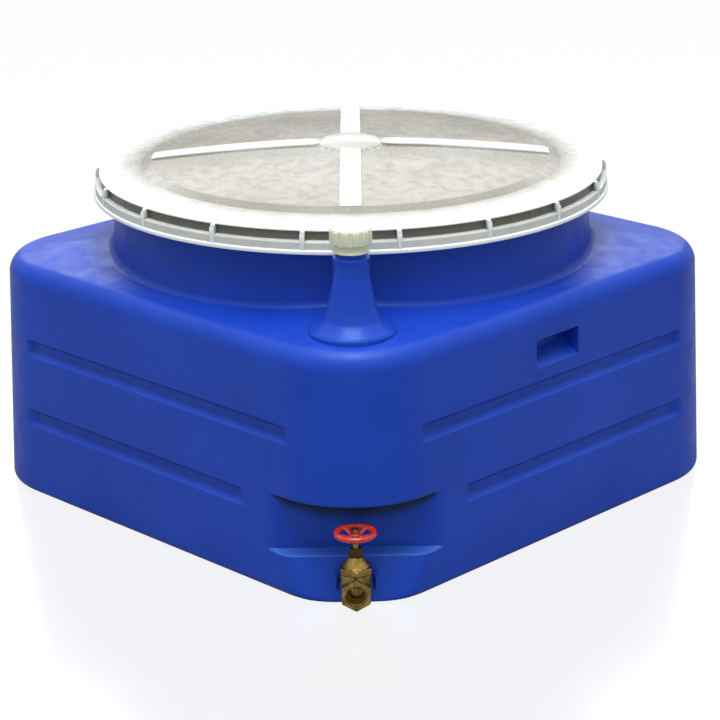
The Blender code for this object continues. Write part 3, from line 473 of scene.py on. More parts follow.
def reckon(tree: bpy.types.NodeTree, operation: str, first: object, second: object,
           clamp: bool = False) -> bpy.types.NodeSocket:
    """Add a math node.

    Args:
        tree: the tree that gets the node.
        operation: what the node does with its two inputs.
        first: a value or a socket.
        second: a value or a socket.
        clamp: whether the result stays between 0 and 1.

    Returns:
        The socket of the result.
    """
    made = tree.nodes.new("ShaderNodeMath")
    made.operation = operation
    made.use_clamp = clamp
    for socket, source in zip(made.inputs, (first, second)):
        plug(tree, socket, source)
    return made.outputs[0]


def add_range(tree: bpy.types.NodeTree, value: bpy.types.NodeSocket, source: Point,
              target: Point) -> bpy.types.Node:
    """Add a node that spreads one range of a value over another range.

    Args:
        tree: the tree that gets the node.
        value: the value's socket.
        source: bottom and top of the value's range.
        target: what the bottom and the top become.

    Returns:
        The new node.
    """
    made = add_node(tree, "ShaderNodeMapRange", Value=value)
    for name, number in zip(("From Min", "From Max", "To Min", "To Max"), (*source, *target)):
        made.inputs[name].default_value = number
    return made


# Repeated forms, made with geometry nodes

class RepeatTree:
    """A geometry node tree with named inputs whose result is turned into a plain mesh."""

    def __init__(self, name: str) -> None:
        """Start an empty tree.

        Args:
            name: the tree's name.
        """
        self.tree = bpy.data.node_groups.new(name, "GeometryNodeTree")
        self.tree.interface.new_socket("Geometry", in_out="OUTPUT", socket_type="NodeSocketGeometry")
        self.inputs = self.tree.nodes.new("NodeGroupInput")
        self.output = self.tree.nodes.new("NodeGroupOutput")
        self.identifiers: dict[str, str] = {}

    def add_input(self, name: str, kind: str) -> None:
        """Add a named input.

        Args:
            name: the input's name.
            kind: its socket type, such as Float, Int, Object or Material.
        """
        socket = self.tree.interface.new_socket(name, in_out="INPUT", socket_type=f"NodeSocket{kind}")
        self.identifiers[name] = socket.identifier

    def value(self, name: str) -> bpy.types.NodeSocket:
        """Return the socket that carries a named input."""
        return next(socket for socket in self.inputs.outputs if socket.identifier == self.identifiers[name])

    def node(self, kind: str, **values: object) -> bpy.types.Node:
        """Add a node with inputs set or linked."""
        return add_node(self.tree, kind, **values)

    def finish(self, geometry: bpy.types.NodeSocket, material: bpy.types.NodeSocket) -> None:
        """End the tree in Realize Instances and Set Material.

        Args:
            geometry: the geometry made so far.
            material: the socket of the material.
        """
        real = self.node("GeometryNodeRealizeInstances", Geometry=geometry)
        dressed = self.node("GeometryNodeSetMaterial", Geometry=real.outputs[0], Material=material)
        self.tree.links.new(dressed.outputs[0], self.output.inputs[0])

    def grow(self, name: str, values: dict[str, object], place: Matrix | None = None) -> bpy.types.Object:
        """Run the tree and return its result as a plain mesh object.

        Args:
            name: the object's name.
            values: one value for each named input.
            place: where the mesh goes.

        Returns:
            The new object.
        """
        host = add_object(name, bpy.data.meshes.new(name))
        modifier = host.modifiers.new("repeat", "NODES")
        modifier.node_group = self.tree
        for title, value in values.items():
            modifier[self.identifiers[title]] = value
        flatten(host)
        if place is not None:
            host.data.transform(place)
        return host


class RadialRepeat(RepeatTree):
    """Copies of a template set round the Z axis, each turned outwards."""

    def __init__(self) -> None:
        """Build the tree."""
        super().__init__("radial_repeat")
        for name, kind in (("Count", "Int"), ("Radius", "Float"), ("Start Angle", "Float"),
                           ("Template", "Object"), ("Material", "Material")):
            self.add_input(name, kind)
        circle = self.node("GeometryNodeMeshCircle", Vertices=self.value("Count"),
                           Radius=self.value("Radius"))
        template = self.node("GeometryNodeObjectInfo", Object=self.value("Template"))
        index = self.node("GeometryNodeInputIndex")
        part = reckon(self.tree, "DIVIDE", index.outputs[0], self.value("Count"))
        heading = self.node("ShaderNodeCombineXYZ", Z=reckon(self.tree, "MULTIPLY", part, 2 * math.pi))
        copies = self.node("GeometryNodeInstanceOnPoints", Points=circle.outputs[0],
                           Instance=template.outputs["Geometry"], Rotation=heading.outputs[0])
        start = self.node("ShaderNodeCombineXYZ", Z=self.value("Start Angle"))
        turned = self.node("GeometryNodeTransform", Geometry=copies.outputs[0], Rotation=start.outputs[0])
        self.finish(turned.outputs[0], self.value("Material"))

    def around(self, name: str, template: bpy.types.Object, count: int, radius: float, start: float,
               material: bpy.types.Material, place: Matrix | None = None) -> bpy.types.Object:
        """Set copies of a template round an axis and remove the template.

        Args:
            name: the name of the result.
            template: one copy, whose +X is the outward side.
            count: how many copies.
            radius: distance of their origins from the axis.
            start: angle of the first copy in radians.
            material: their material.
            place: where the ring of copies goes.

        Returns:
            The copies as one mesh object.
        """
        values = {"Count": count, "Radius": radius, "Start Angle": start, "Template": template,
                  "Material": material}
        made = self.grow(name, values, place)
        bpy.data.objects.remove(template, do_unlink=True)
        return made


class ThreadRidge(RepeatTree):
    """The ridge of a screw thread: a bar that follows a helix about Z."""

    bar_sides = 6
    steps_per_turn = 40

    def __init__(self) -> None:
        """Build the tree."""
        super().__init__("thread_ridge")
        for name, kind in (("Radius", "Float"), ("Rise", "Float"), ("Turns", "Float"),
                           ("Bar Radius", "Float"), ("Steps", "Int"), ("Material", "Material")):
            self.add_input(name, kind)
        helix = self.node("GeometryNodeCurveSpiral", Resolution=self.value("Steps"),
                          Rotations=self.value("Turns"), Start_Radius=self.value("Radius"),
                          End_Radius=self.value("Radius"), Height=self.value("Rise"))
        bar = self.node("GeometryNodeCurvePrimitiveCircle", Resolution=self.bar_sides,
                        Radius=self.value("Bar Radius"))
        swept = self.node("GeometryNodeCurveToMesh", Curve=helix.outputs[0], Profile_Curve=bar.outputs[0])
        swept.inputs["Fill Caps"].default_value = True
        self.finish(swept.outputs[0], self.value("Material"))

    def cut_on(self, name: str, radius: float, low: float, rise: float, pitch: float, bar: float,
               material: bpy.types.Material, place: Matrix | None = None) -> bpy.types.Object:
        """Return a thread ridge.

        Args:
            name: the object's name.
            radius: radius of the ridge's middle line.
            low: height where it starts.
            rise: height that it climbs.
            pitch: height of one turn.
            bar: half thickness of the ridge.
            material: its material.
            place: where the thread's axis goes.

        Returns:
            The ridge as a mesh object.
        """
        values = {"Radius": radius, "Rise": rise, "Turns": rise / pitch, "Bar Radius": bar,
                  "Steps": self.steps_per_turn, "Material": material}
        lift = Matrix.Translation((0.0, 0.0, low))
        return self.grow(name, values, place @ lift if place is not None else lift)


# Finishes

class Shader:
    """Short hand for one node material around a Principled surface."""

    def __init__(self, name: str) -> None:
        """Start the material.

        Args:
            name: the material's name.
        """
        self.material = bpy.data.materials.new(name)
        self.material.use_nodes = True
        self.tree = self.material.node_tree
        self.surface = self.tree.nodes["Principled BSDF"]
        self.place = self.tree.nodes.new("ShaderNodeTexCoord").outputs["Object"]

    def set(self, **values: object) -> None:
        """Set or link inputs of the surface.

        Args:
            **values: socket names, with underscores for spaces, and a value or a socket for each.
        """
        for name, source in values.items():
            plug(self.tree, self.surface.inputs[name.replace("_", " ")], source)

    def node(self, kind: str, **values: object) -> bpy.types.Node:
        """Add a node with inputs set or linked."""
        return add_node(self.tree, kind, **values)

    def noise(self, scale: float, detail: float) -> bpy.types.NodeSocket:
        """Return a noise pattern in the piece's own coordinates.

        Args:
            scale: cells per metre.
            detail: how many finer layers it has.

        Returns:
            The pattern's value socket.
        """
        return self.node("ShaderNodeTexNoise", Vector=self.place, Scale=scale, Detail=detail).outputs[0]

    def stored(self, name: str) -> bpy.types.NodeSocket:
        """Return a value that a mesh stores at its points.

        Args:
            name: the attribute's name.

        Returns:
            The value's socket, which gives 0 on a mesh without that attribute.
        """
        reader = self.tree.nodes.new("ShaderNodeAttribute")
        reader.attribute_name = name
        return reader.outputs["Fac"]

    def spread(self, value: bpy.types.NodeSocket, low: float, high: float,
               bottom: float = 0.35, top: float = 0.65) -> bpy.types.NodeSocket:
        """Spread a pattern's middle range over a new range.

        Args:
            value: the pattern.
            low: result at the bottom of the range.
            high: result at the top of the range.
            bottom: pattern value that gives low.
            top: pattern value that gives high.

        Returns:
            The new value socket.
        """
        return add_range(self.tree, value, (bottom, top), (low, high)).outputs[0]

    def blend(self, share: bpy.types.NodeSocket, first: object, second: object) -> bpy.types.NodeSocket:
        """Blend two colours by a share.

        Args:
            share: the blend, 0 for the first colour.
            first: a colour or a colour socket.
            second: a colour or a colour socket.

        Returns:
            The blended colour socket.
        """
        mixed = self.tree.nodes.new("ShaderNodeMix")
        mixed.data_type = "RGBA"
        self.tree.links.new(share, mixed.inputs[0])
        for socket, source in ((mixed.inputs[6], first), (mixed.inputs[7], second)):
            plug(self.tree, socket, (*source, 1.0) if isinstance(source, tuple) else source)
        return mixed.outputs[2]

    def bump(self, height: bpy.types.NodeSocket, depth: float, strength: float = 1.0,
             under: bpy.types.NodeSocket | None = None) -> bpy.types.NodeSocket:
        """Return a bumped normal.

        Args:
            height: the height pattern.
            depth: height of the pattern in metres.
            strength: share of the effect.
            under: a normal that this bump adds to.

        Returns:
            The normal socket.
        """
        values = {"Height": height, "Distance": depth, "Strength": strength}
        if under is not None:
            values["Normal"] = under
        return self.node("ShaderNodeBump", **values).outputs[0]


@dataclass(frozen=True)
class MouldedPlastic:
    """Thick moulded polyethylene with a soft sheen and a fine skin, with a painted highlight on its
    recess's ledge and painted shade under the recess's overhang.
    """

    name: str
    light: Color
    deep: Color
    roughness: float = 0.38
    shine: float = 0.36
    shine_tint: Color = (0.55, 0.90, 1.0)
    skin_depth: float = 0.00016
    wave_depth: float = 0.0012
    # Lighter blue painted highlight on the recess's ledge.
    ledge_highlight: Color = (0.045, 0.135, 0.52)
    # Near-black painted shade under the recess's overhang.
    recess_shade: Color = (0.003, 0.004, 0.012)

    def make(self) -> bpy.types.Material:
        """Make the material.

        Returns:
            The material.
        """
        shader = Shader(self.name)
        cloud = shader.spread(shader.noise(5.0, 4.0), 0.0, 1.0)
        colour = shader.blend(cloud, self.deep, self.light)
        # The stored painted light: above 0 a painted highlight on the recess's ledge, below 0 painted shade
        # under its overhang.
        painted_light = shader.stored("painted_light")
        # Painted highlight: lighter blue on the recess's ledge.
        colour = shader.blend(shader.spread(painted_light, 0.0, 1.0, 0.0, 1.0), colour, self.ledge_highlight)
        # Painted shade: near-black under the recess's overhang.
        colour = shader.blend(shader.spread(painted_light, 0.0, 1.0, 0.0, -1.0), colour, self.recess_shade)
        grain = shader.noise(420.0, 3.0)
        wave = shader.bump(shader.noise(9.0, 1.0), self.wave_depth, 0.2)
        sheen = shader.spread(shader.noise(35.0, 5.0), self.roughness - 0.05, self.roughness + 0.07)
        shader.set(Base_Color=colour, Specular_IOR_Level=self.shine,
                   Specular_Tint=(*self.shine_tint, 1.0), Roughness=sheen,
                   Normal=shader.bump(grain, self.skin_depth, 0.5, wave))
        return shader.material


@dataclass(frozen=True)
class CloudyPlastic:
    """Milky see-through moulding: greyish where it is thin, ivory where it is thick, with painted shade
    where the stored value is below 0.
    """

    name: str
    thin: Color
    thick: Color
    roughness: float = 0.22
    milk: float = 0.35
    bleed: Color = (0.012, 0.011, 0.008)
    shine: float = 0.4
    # Painted shade colour for the recessed band under the lid's lip.
    hollow: Color = (0.10, 0.10, 0.08)

    def make(self) -> bpy.types.Material:
        """Make the material.

        Returns:
            The material.
        """
        shader = Shader(self.name)
        thickness = shader.stored("thickness")
        cloud = shader.spread(shader.noise(9.0, 4.0), 0.0, 0.12, 0.3, 0.7)
        share = reckon(shader.tree, "ADD", thickness, cloud, clamp=True)
        # Painted shade share: the stored value below 0.
        band_shade_share = reckon(shader.tree, "MULTIPLY", thickness, -1.0, clamp=True)
        solid = shader.blend(share, self.thin, self.thick)
        flow = shader.bump(shader.noise(18.0, 2.0), 0.0005, 0.25)
        sheen = shader.spread(shader.noise(55.0, 5.0), self.roughness - 0.06, self.roughness + 0.10)
        shader.set(Base_Color=shader.blend(band_shade_share, solid, self.hollow), Roughness=sheen,
                   Subsurface_Weight=self.milk, Subsurface_Radius=self.bleed, Subsurface_Scale=0.4,
                   Specular_IOR_Level=self.shine,
                   Normal=shader.bump(shader.noise(300.0, 3.0), 0.00012, 0.4, flow))
        return shader.material


@dataclass(frozen=True)
class CastMetal:
    """Cast and machined metal with a pebbled skin and darker patches."""

    name: str
    bright: Color
    dull: Color
    roughness: float = 0.30
    pebble: float = 0.00022
    pebble_scale: float = 900.0

    def make(self) -> bpy.types.Material:
        """Make the material.

        Returns:
            The material.
        """
        shader = Shader(self.name)
        patches = shader.spread(shader.noise(70.0, 6.0), 0.0, 1.0)
        sheen = shader.spread(shader.noise(160.0, 4.0), self.roughness - 0.07, self.roughness + 0.12)
        shader.set(Base_Color=shader.blend(patches, self.dull, self.bright), Metallic=1.0, Roughness=sheen,
                   Normal=shader.bump(shader.noise(self.pebble_scale, 2.0), self.pebble, 0.6))
        return shader.material


@dataclass(frozen=True)
class GlossPaint:
    """Thick gloss paint over a casting, with faint pooling of its colour."""

    name: str
    colour: Color
    deep: Color
    roughness: float = 0.24

    def make(self) -> bpy.types.Material:
        """Make the material.

        Returns:
            The material.
        """
        shader = Shader(self.name)
        pooling = shader.spread(shader.noise(90.0, 4.0), 0.0, 1.0)
        sheen = shader.spread(shader.noise(200.0, 3.0), self.roughness - 0.05, self.roughness + 0.10)
        shader.set(Base_Color=shader.blend(pooling, self.deep, self.colour), Coat_Weight=0.5,
                   Coat_Roughness=0.12, Roughness=sheen,
                   Normal=shader.bump(shader.noise(500.0, 2.0), 0.0002, 0.5))
        return shader.material


@dataclass(frozen=True)
class MattRubber:
    """Rubber or packing with a dusty, finely grained skin."""

    name: str
    colour: Color
    dust: Color
    roughness: float = 0.78

    def make(self) -> bpy.types.Material:
        """Make the material.

        Returns:
            The material.
        """
        shader = Shader(self.name)
        dusty = shader.spread(shader.noise(120.0, 6.0), 0.0, 1.0)
        shader.set(Base_Color=shader.blend(dusty, self.colour, self.dust), Roughness=self.roughness,
                   Normal=shader.bump(shader.noise(1500.0, 3.0), 0.00015, 0.6))
        return shader.material


class Slot(Enum):
    """The record's material slots."""

    TANK = "tank_blue"
    LID = "lid_ivory"
    CAP = "cap_ivory"
    SEAL = "seal_rubber"
    LINER = "liner_foam"
    BRASS = "valve_brass"
    PACKING = "packing_grey"
    WHEEL = "wheel_red"


class Finishes:
    """The finishes of the tank, one material for each slot."""

    def __init__(self) -> None:
        """Make every material once."""
        makers = {
            Slot.TANK: MouldedPlastic("tank_blue_moulded", (0.010, 0.050, 0.450), (0.006, 0.040, 0.390)),
            Slot.LID: CloudyPlastic("lid_cloudy_ivory", (0.22, 0.205, 0.165), (0.80, 0.86, 0.85)),
            Slot.CAP: CloudyPlastic("cap_cloudy_ivory", (0.66, 0.69, 0.50), (0.84, 0.86, 0.68), 0.28),
            Slot.SEAL: MattRubber("seal_black_rubber", (0.020, 0.020, 0.022), (0.05, 0.05, 0.05)),
            Slot.LINER: MattRubber("liner_white_foam", (0.78, 0.78, 0.75), (0.68, 0.68, 0.64), 0.9),
            Slot.BRASS: CastMetal("valve_cast_brass", (0.46, 0.32, 0.095), (0.22, 0.14, 0.035)),
            Slot.PACKING: MattRubber("packing_graphite", (0.09, 0.09, 0.09), (0.16, 0.16, 0.15)),
            Slot.WHEEL: GlossPaint("wheel_gloss_red", (0.58, 0.030, 0.018), (0.40, 0.018, 0.012)),
        }
        self.by_slot = {slot: maker.make() for slot, maker in makers.items()}
        # A darker brass for the gland nut: painted shade for the shade it sits in under the handwheel.
        shaded_maker = CastMetal("valve_brass_painted_shade", (0.16, 0.11, 0.04), (0.06, 0.045, 0.02), 0.45)
        self.shaded_brass = shaded_maker.make()

    def __getitem__(self, slot: Slot) -> bpy.types.Material:
        """Return a slot's material."""
        return self.by_slot[slot]


@dataclass
class Workshop:
    """What every sub-assembly shares: the frame, the finishes, the node trees and the main axes."""

    frame: dict
    finishes: Finishes
    repeat: RadialRepeat
    thread: ThreadRidge
    corner: Matrix = field(default_factory=lambda: Matrix.Rotation(math.radians(-45), 4, "Z"))

    def upright(self, out: float) -> Matrix:
        """Return the place of an upright axis on the diagonal."""
        return self.corner @ Matrix.Translation((out, 0.0, 0.0))

    def along(self, height: float) -> Matrix:
        """Return the place of an axis that runs out along the diagonal at a height."""
        lifted = self.corner @ Matrix.Translation((0.0, 0.0, height))
        return lifted @ Matrix.Rotation(math.radians(90), 4, "Y")

    def dress(self, item: bpy.types.Object, slot: Slot, body: str, *nodes: str, crease: float = 35.0,
              finish: bpy.types.Material | None = None) -> None:
        """Give a piece its finish, its shading, its body and the nodes that it stands for.

        Args:
            item: the piece.
            slot: its material slot.
            body: the CAD body that it rides on.
            *nodes: the CAD nodes that it replaces.
            crease: angle in degrees above which an edge stays sharp.
            finish: a finish of its own, or None for the slot's.
        """
        item.data.materials.clear()
        item.data.materials.append(finish or self.finishes[slot])
        item.data.polygons.foreach_set("use_smooth", [True] * len(item.data.polygons))
        item.data.set_sharp_from_angle(angle=math.radians(crease))
        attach(item, body)
        if nodes:
            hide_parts(*nodes)
        LOG.info("%s: %d faces, on %s, for %s", item.name, len(item.data.polygons), body,
                 ", ".join(nodes) or "itself")


# The tank

@dataclass
class Tank:
    """The moulded tank: walls with grooves, grips and the corner recess, deck, neck and spout."""

    shop: Workshop
    base_half: float = 0.425
    lean: float = 0.028278
    corner: float = 0.140
    corner_steps: int = 32
    wall: float = 0.007
    pressed_from: float = 0.30
    bottom_round: float = 0.012
    top_round: float = 0.024
    top_crease: float = math.radians(14)
    edge_z: float = 0.364
    deck_slope: float = 0.141
    hip_soft: float = 0.008
    neck_foot: float = 0.366
    neck_foot_z: float = 0.369
    neck_round: float = 0.012
    neck_low_z: float = 0.392
    neck_mid_z: float = 0.425
    neck_top: float = 0.360
    shoulder_z: float = 0.452
    shoulder_rise: float = 0.008
    shoulder_round: float = 0.005
    rim: float = 0.3765
    rim_z: float = 0.4890
    groove_z: tuple[float, ...] = (0.125, 0.237)
    groove_reach: float = 0.278
    groove_reach_at_recess: float = 0.192
    groove_half: float = 0.013
    groove_depth: float = 0.008
    groove_slope: float = 1.5
    groove_span: float = 0.03
    groove_soft: float = 0.0014
    groove_floor_soft: float = 0.0024
    grip_half: float = 0.046
    grip_low: float = 0.269
    grip_high: float = 0.309
    grip_depth: float = 0.030
    grip_ramp: float = 0.022
    grip_soft: float = 0.006
    grip_run: float = 0.0008
    recess_back: float = 0.4805
    recess_top: float = 0.145
    recess_lip: float = 0.003
    lip_run: float = 0.012
    recess_soft: float = 0.010
    ledge_z: float = 0.0635
    ledge_depth: float = 0.020
    ledge_drop: float = 0.004
    ledge_soft: float = 0.002
    # Painted highlight on the recess's ledge: its share and how far it fades past the ledge.
    ledge_light_share: float = 0.75
    ledge_light_edge: float = 0.0015
    # Painted shade under the recess's overhang: how far down it reaches and fades, grown with the
    # overhang's depth.
    painted_shade_drop: float = 0.35
    painted_shade_fade: float = 0.40
    painted_shade_edge: float = 0.006
    recess_foot: float = 0.525
    spout_out: float = 0.440
    spout_bore: float = 0.0165
    spout_mouth: float = 0.0213
    spout_top: float = 0.5099
    spout_bead: float = 0.0254
    bead_low: float = 0.4695
    bead_high: float = 0.4745
    cone: float = 0.0250
    cone_spread: float = 0.0160
    cone_top: float = 0.447
    cone_foot: float = 0.3855
    cone_hollow: float = 0.0348
    flange: float = 0.0614
    flange_low: float = 0.355
    spout_hole: float = 0.0343
    drain_z: float = 0.0322
    drain_face: float = 0.5050
    drain_inner_face: float = 0.4750
    drain_boss: float = 0.0235
    drain_hole: float = 0.0167
    drain_spot: float = 0.026

    def half(self, height: float) -> float:
        """Return the distance from the axis to the outer wall at a height."""
        return self.base_half - self.lean * height

    @cached_property
    def columns(self) -> list[tuple[int, float, float]]:
        """Lay out the mesh's columns.

        Returns:
            For each column its quadrant, its angle in the corner's arc (or -1) and its place along a wall.
        """
        half_side = [0.01, 0.02, 0.03, 0.04, 0.0448, 0.0456, 0.0464, 0.0476, 0.055, 0.07, 0.09, 0.11, 0.13,
                     0.15, 0.17, 0.182, 0.188, 0.192, 0.1945, 0.1973, 0.2, 0.206, 0.218, 0.23, 0.238, 0.244,
                     0.249, 0.253, 0.256, 0.259, 0.262, 0.265, 0.268, 0.271]
        along = [*reversed(half_side), 0.0, *(-place for place in half_side)]
        found = []
        for quadrant in range(4):
            found += [(quadrant, step / self.corner_steps * math.pi / 2, 0.0)
                      for step in range(self.corner_steps + 1)]
            found += [(quadrant, -1.0, place) for place in along]
        return found

    def square_ring(self, half: float, radius: float, height: float) -> list[Vector]:
        """Return one ring of a rounded square.

        Args:
            half: half of its width.
            radius: radius of its corners.
            height: its height.

        Returns:
            One point for each column.
        """
        middle = half - radius
        points = []
        for quadrant, angle, along in self.columns:
            if angle >= 0.0:
                x, y = middle + radius * math.cos(angle), middle + radius * math.sin(angle)
            else:
                x, y = along, half
            for _ in range(quadrant):
                x, y = -y, x
            points.append(Vector((x, y, height)))
        return points

    @property
    def deck_edge(self) -> float:
        """Return the distance from the axis to the edge of the deck."""
        return self.half(self.edge_z - self.top_round) - self.top_round

    def deck_z(self, x: float, y: float) -> float:
        """Return the height of the deck's four planes, which meet in soft hips."""
        inwards = self.deck_edge - smooth_max(abs(x), abs(y), self.hip_soft)
        return self.edge_z + self.deck_slope * max(inwards, 0.0)

    def groove_limit(self, heading: int, along: float, height: float, grow: float) -> float:
        """Return how far out a wall may reach beside its grooves.

        Args:
            heading: quarter turn of the wall, 0 for the one at +X.
            along: place along the wall.
            height: place up the wall.
            grow: how much the grooves are grown, for the inside.

        Returns:
            The farthest distance out from the axis.
        """
        limit = NO_LIMIT
        for level in self.groove_z:
            if abs(height - level) > self.groove_span:
                continue
            short = level == self.groove_z[0]
            low_end = self.groove_reach_at_recess if short and heading == 0 else self.groove_reach
            high_end = self.groove_reach_at_recess if short and heading == 3 else self.groove_reach
            reach = (high_end if along > 0 else low_end) + grow
            floor = self.half(level) - self.groove_depth - grow
            narrow = self.groove_half - self.groove_depth / self.groove_slope + grow
            over = max(abs(height - level) - narrow, abs(along) - reach)
            limit = min(limit, floor + smooth_max(over, 0.0, self.groove_floor_soft) * self.groove_slope)
        return limit

    def grip_limit(self, along: float, height: float, grow: float) -> float:
        """Return how far out a wall may reach beside its hand grip.

        Args:
            along: place along the wall.
            height: place up the wall.
            grow: how much the grip is grown, for the inside.

        Returns:
            The farthest distance out from the axis.
        """
        face = self.half(self.grip_low)
        back = face - self.grip_depth - grow
        steep = self.grip_depth / self.grip_run
        ramp = face - grow - self.grip_depth * (height - self.grip_low + grow) / self.grip_ramp
        ceiling = back + (height - self.grip_high - grow) * steep
        side = back + (abs(along) - self.grip_half + 0.0004 - grow) * steep
        return max(smooth_max(ramp, back, self.grip_soft), ceiling, side)

    def beside_grip(self, heading: int, along: float, height: float) -> bool:
        """Return whether a place lies at a hand grip, which only the walls at +X and -X have."""
        level = self.grip_low - 0.012 < height < self.grip_high + 0.01
        return heading in (0, 2) and abs(along) < 0.05 and level

    def recess_limit(self, height: float, grow: float) -> float:
        """Return how far out along the diagonal the recess lets the corner reach.

        Args:
            height: place above the floor.
            grow: how much the recess is grown, for the inside.

        Returns:
            The farthest distance out along the diagonal.
        """
        if height > self.recess_top + grow:
            return NO_LIMIT
        back = self.recess_back - grow
        front = self.recess_back + self.ledge_depth - grow
        foot = self.ledge_z - self.ledge_drop
        if height > foot:
            share = (self.ledge_z - height) / self.ledge_drop
            slope = back + (front - back) * smooth_step(0.0, 1.0, share)
            return smooth_max(back, slope, self.ledge_soft)
        return front + (self.recess_foot - self.recess_back - self.ledge_depth) * (foot - height) / foot

    def press(self, point: Vector, grow: float) -> Vector:
        """Press the grooves, grips and recess into one point of a wall.

        Args:
            point: the point on the plain wall.
            grow: how much the pressed forms are grown, for the inside.

        Returns:
            The pressed point.
        """
        x, y, z = point
        for heading in range(4):
            out, along = ((x, y), (y, -x), (-x, -y), (-y, x))[heading]
            if out > self.pressed_from:
                limit = self.groove_limit(heading, along, z, grow)
                if limit < out + 0.002:
                    out = smooth_min(out, limit, self.groove_soft)
                if self.beside_grip(heading, along, z):
                    out = min(out, self.grip_limit(along, z, grow))
            x, y = ((out, along), (-along, out), (-out, -along), (along, -out))[heading]
        out, across = (x - y) / ROOT_TWO, (x + y) / ROOT_TWO
        limit = self.recess_limit(z, grow)
        if limit < NO_LIMIT:
            out = smooth_min(out, limit, self.recess_soft)
            if grow == 0.0 and math.hypot(across, z - self.drain_z) < self.drain_spot:
                out = min(out, self.drain_face)
        elif grow == 0.0 and z < self.recess_top + self.recess_lip:
            share = 1.0 - (z - self.recess_top) / self.recess_lip
            roll = self.recess_lip * (1.0 - math.sqrt(max(1.0 - share * share, 0.0)))
            out -= roll * smooth_step(self.recess_back, self.recess_back + self.lip_run, out)
        return Vector(((out + across) / ROOT_TWO, (across - out) / ROOT_TWO, z))

    def wall_levels(self, fine: bool) -> list[float]:
        """Return the heights of the wall's rows, dense beside grooves, grips and recess.

        Args:
            fine: whether every row is wanted, for the outside.

        Returns:
            The heights from the bottom up.
        """
        step = 0.0015 if fine else 0.005
        levels = [0.0145, 0.0175, 0.021, 0.0245, 0.028, 0.0322, 0.037, 0.042, 0.047]
        levels += [0.0495, 0.0505, 0.0515, 0.0525, 0.0545, 0.0575, 0.0585, 0.0592, 0.0598, 0.0604,
                   0.061, 0.0616, 0.0622, 0.0629, 0.0635, 0.0645, 0.067]
        levels += [0.072, 0.08, 0.09, 0.1, 0.107]
        for level in self.groove_z:
            count = int(0.0165 / step)
            levels += [level + index * step for index in range(-count, count + 1)]
        top = self.recess_top
        levels += [top - 0.0008, top - 0.0001, top + 0.0001, top + 0.0004, top + 0.001, top + 0.0018,
                   top + 0.003]
        levels += [0.155, 0.17, 0.185, 0.2, 0.21, 0.262, 0.2675, 0.269, 0.2705, 0.274, 0.278, 0.283, 0.287]
        levels += [0.291, 0.295, 0.3, 0.305, 0.3084, 0.3088, 0.3092, 0.3096, 0.312, 0.32, 0.33]
        if not fine:
            levels = [level for level in levels if 0.016 < level]
        least_gap = 0.00015 if fine else 0.0060
        merged: list[float] = []
        for level in sorted(levels):
            if not merged or level - merged[-1] > least_gap:
                merged.append(level)
        return merged

    def foot_rings(self, inset: float, quarter: Sequence[float]) -> list[list[Vector]]:
        """Return the rings of the rounding between the floor and the walls.

        Args:
            inset: 0 for the outside or the wall's thickness for the inside.
            quarter: the angles of a quarter turn.

        Returns:
            The rings from the bottom up.
        """
        low_half = self.half(self.bottom_round) - self.bottom_round
        rings = []
        for angle in quarter:
            reach = (self.bottom_round - inset) * math.sin(angle)
            height = self.bottom_round - (self.bottom_round - inset) * math.cos(angle)
            radius = self.corner - self.bottom_round + reach
            rings.append(self.square_ring(low_half + reach, radius, height))
        return rings

    def crown_rings(self, inset: float, turns: int) -> list[list[Vector]]:
        """Return the rings of the rounding between the walls and the deck.

        Args:
            inset: 0 for the outside or the wall's thickness for the inside.
            turns: segments of the rounding.

        Returns:
            The rings from the bottom up.
        """
        crease = self.edge_z - self.top_round
        rings = []
        for share in range(turns + 1):
            angle = self.top_crease + (math.pi / 2 - self.top_crease) * share / turns
            reach = (self.top_round - inset) * math.cos(angle) / math.cos(self.top_crease)
            rise = (math.sin(angle) - math.sin(self.top_crease)) / (1.0 - math.sin(self.top_crease))
            height = crease + (self.top_round - inset) * rise
            radius = self.corner - self.top_round + reach
            rings.append(self.square_ring(self.deck_edge + reach, radius, height))
        return rings

    def deck_rings(self, start: Sequence[Vector], headings: Sequence[float], inset: float,
                   steps: int) -> list[list[Vector]]:
        """Return the rings of the deck, which turn from the square edge to the round neck.

        Args:
            start: the ring at the deck's edge.
            headings: the direction of each column, seen from above.
            inset: 0 for the outside or the wall's thickness for the inside.
            steps: how many rings there are.

        Returns:
            The rings from the edge inwards.
        """
        foot = self.neck_foot + self.neck_round
        foot_planes = [self.deck_z(foot * math.cos(heading), foot * math.sin(heading))
                       for heading in headings]
        foot_gaps = [smooth_max(level, self.neck_foot_z, 0.004) - level for level in foot_planes]
        rings = []
        for step in range(1, steps + 1):
            share = step / steps
            ring = []
            for point, heading, foot_gap in zip(start, headings, foot_gaps):
                reach = math.hypot(point.x, point.y)
                radius = reach + (foot - reach) * share
                x, y = radius * math.cos(heading), radius * math.sin(heading)
                start_gap = self.deck_z(point.x, point.y) - self.edge_z
                level = self.deck_z(x, y) - start_gap * (1.0 - smooth_step(0.0, 0.30, share))
                level += foot_gap * smooth_step(-1.0, 1.0, share) * share
                ring.append(Vector((x, y, level - inset)))
            rings.append(ring)
        return rings

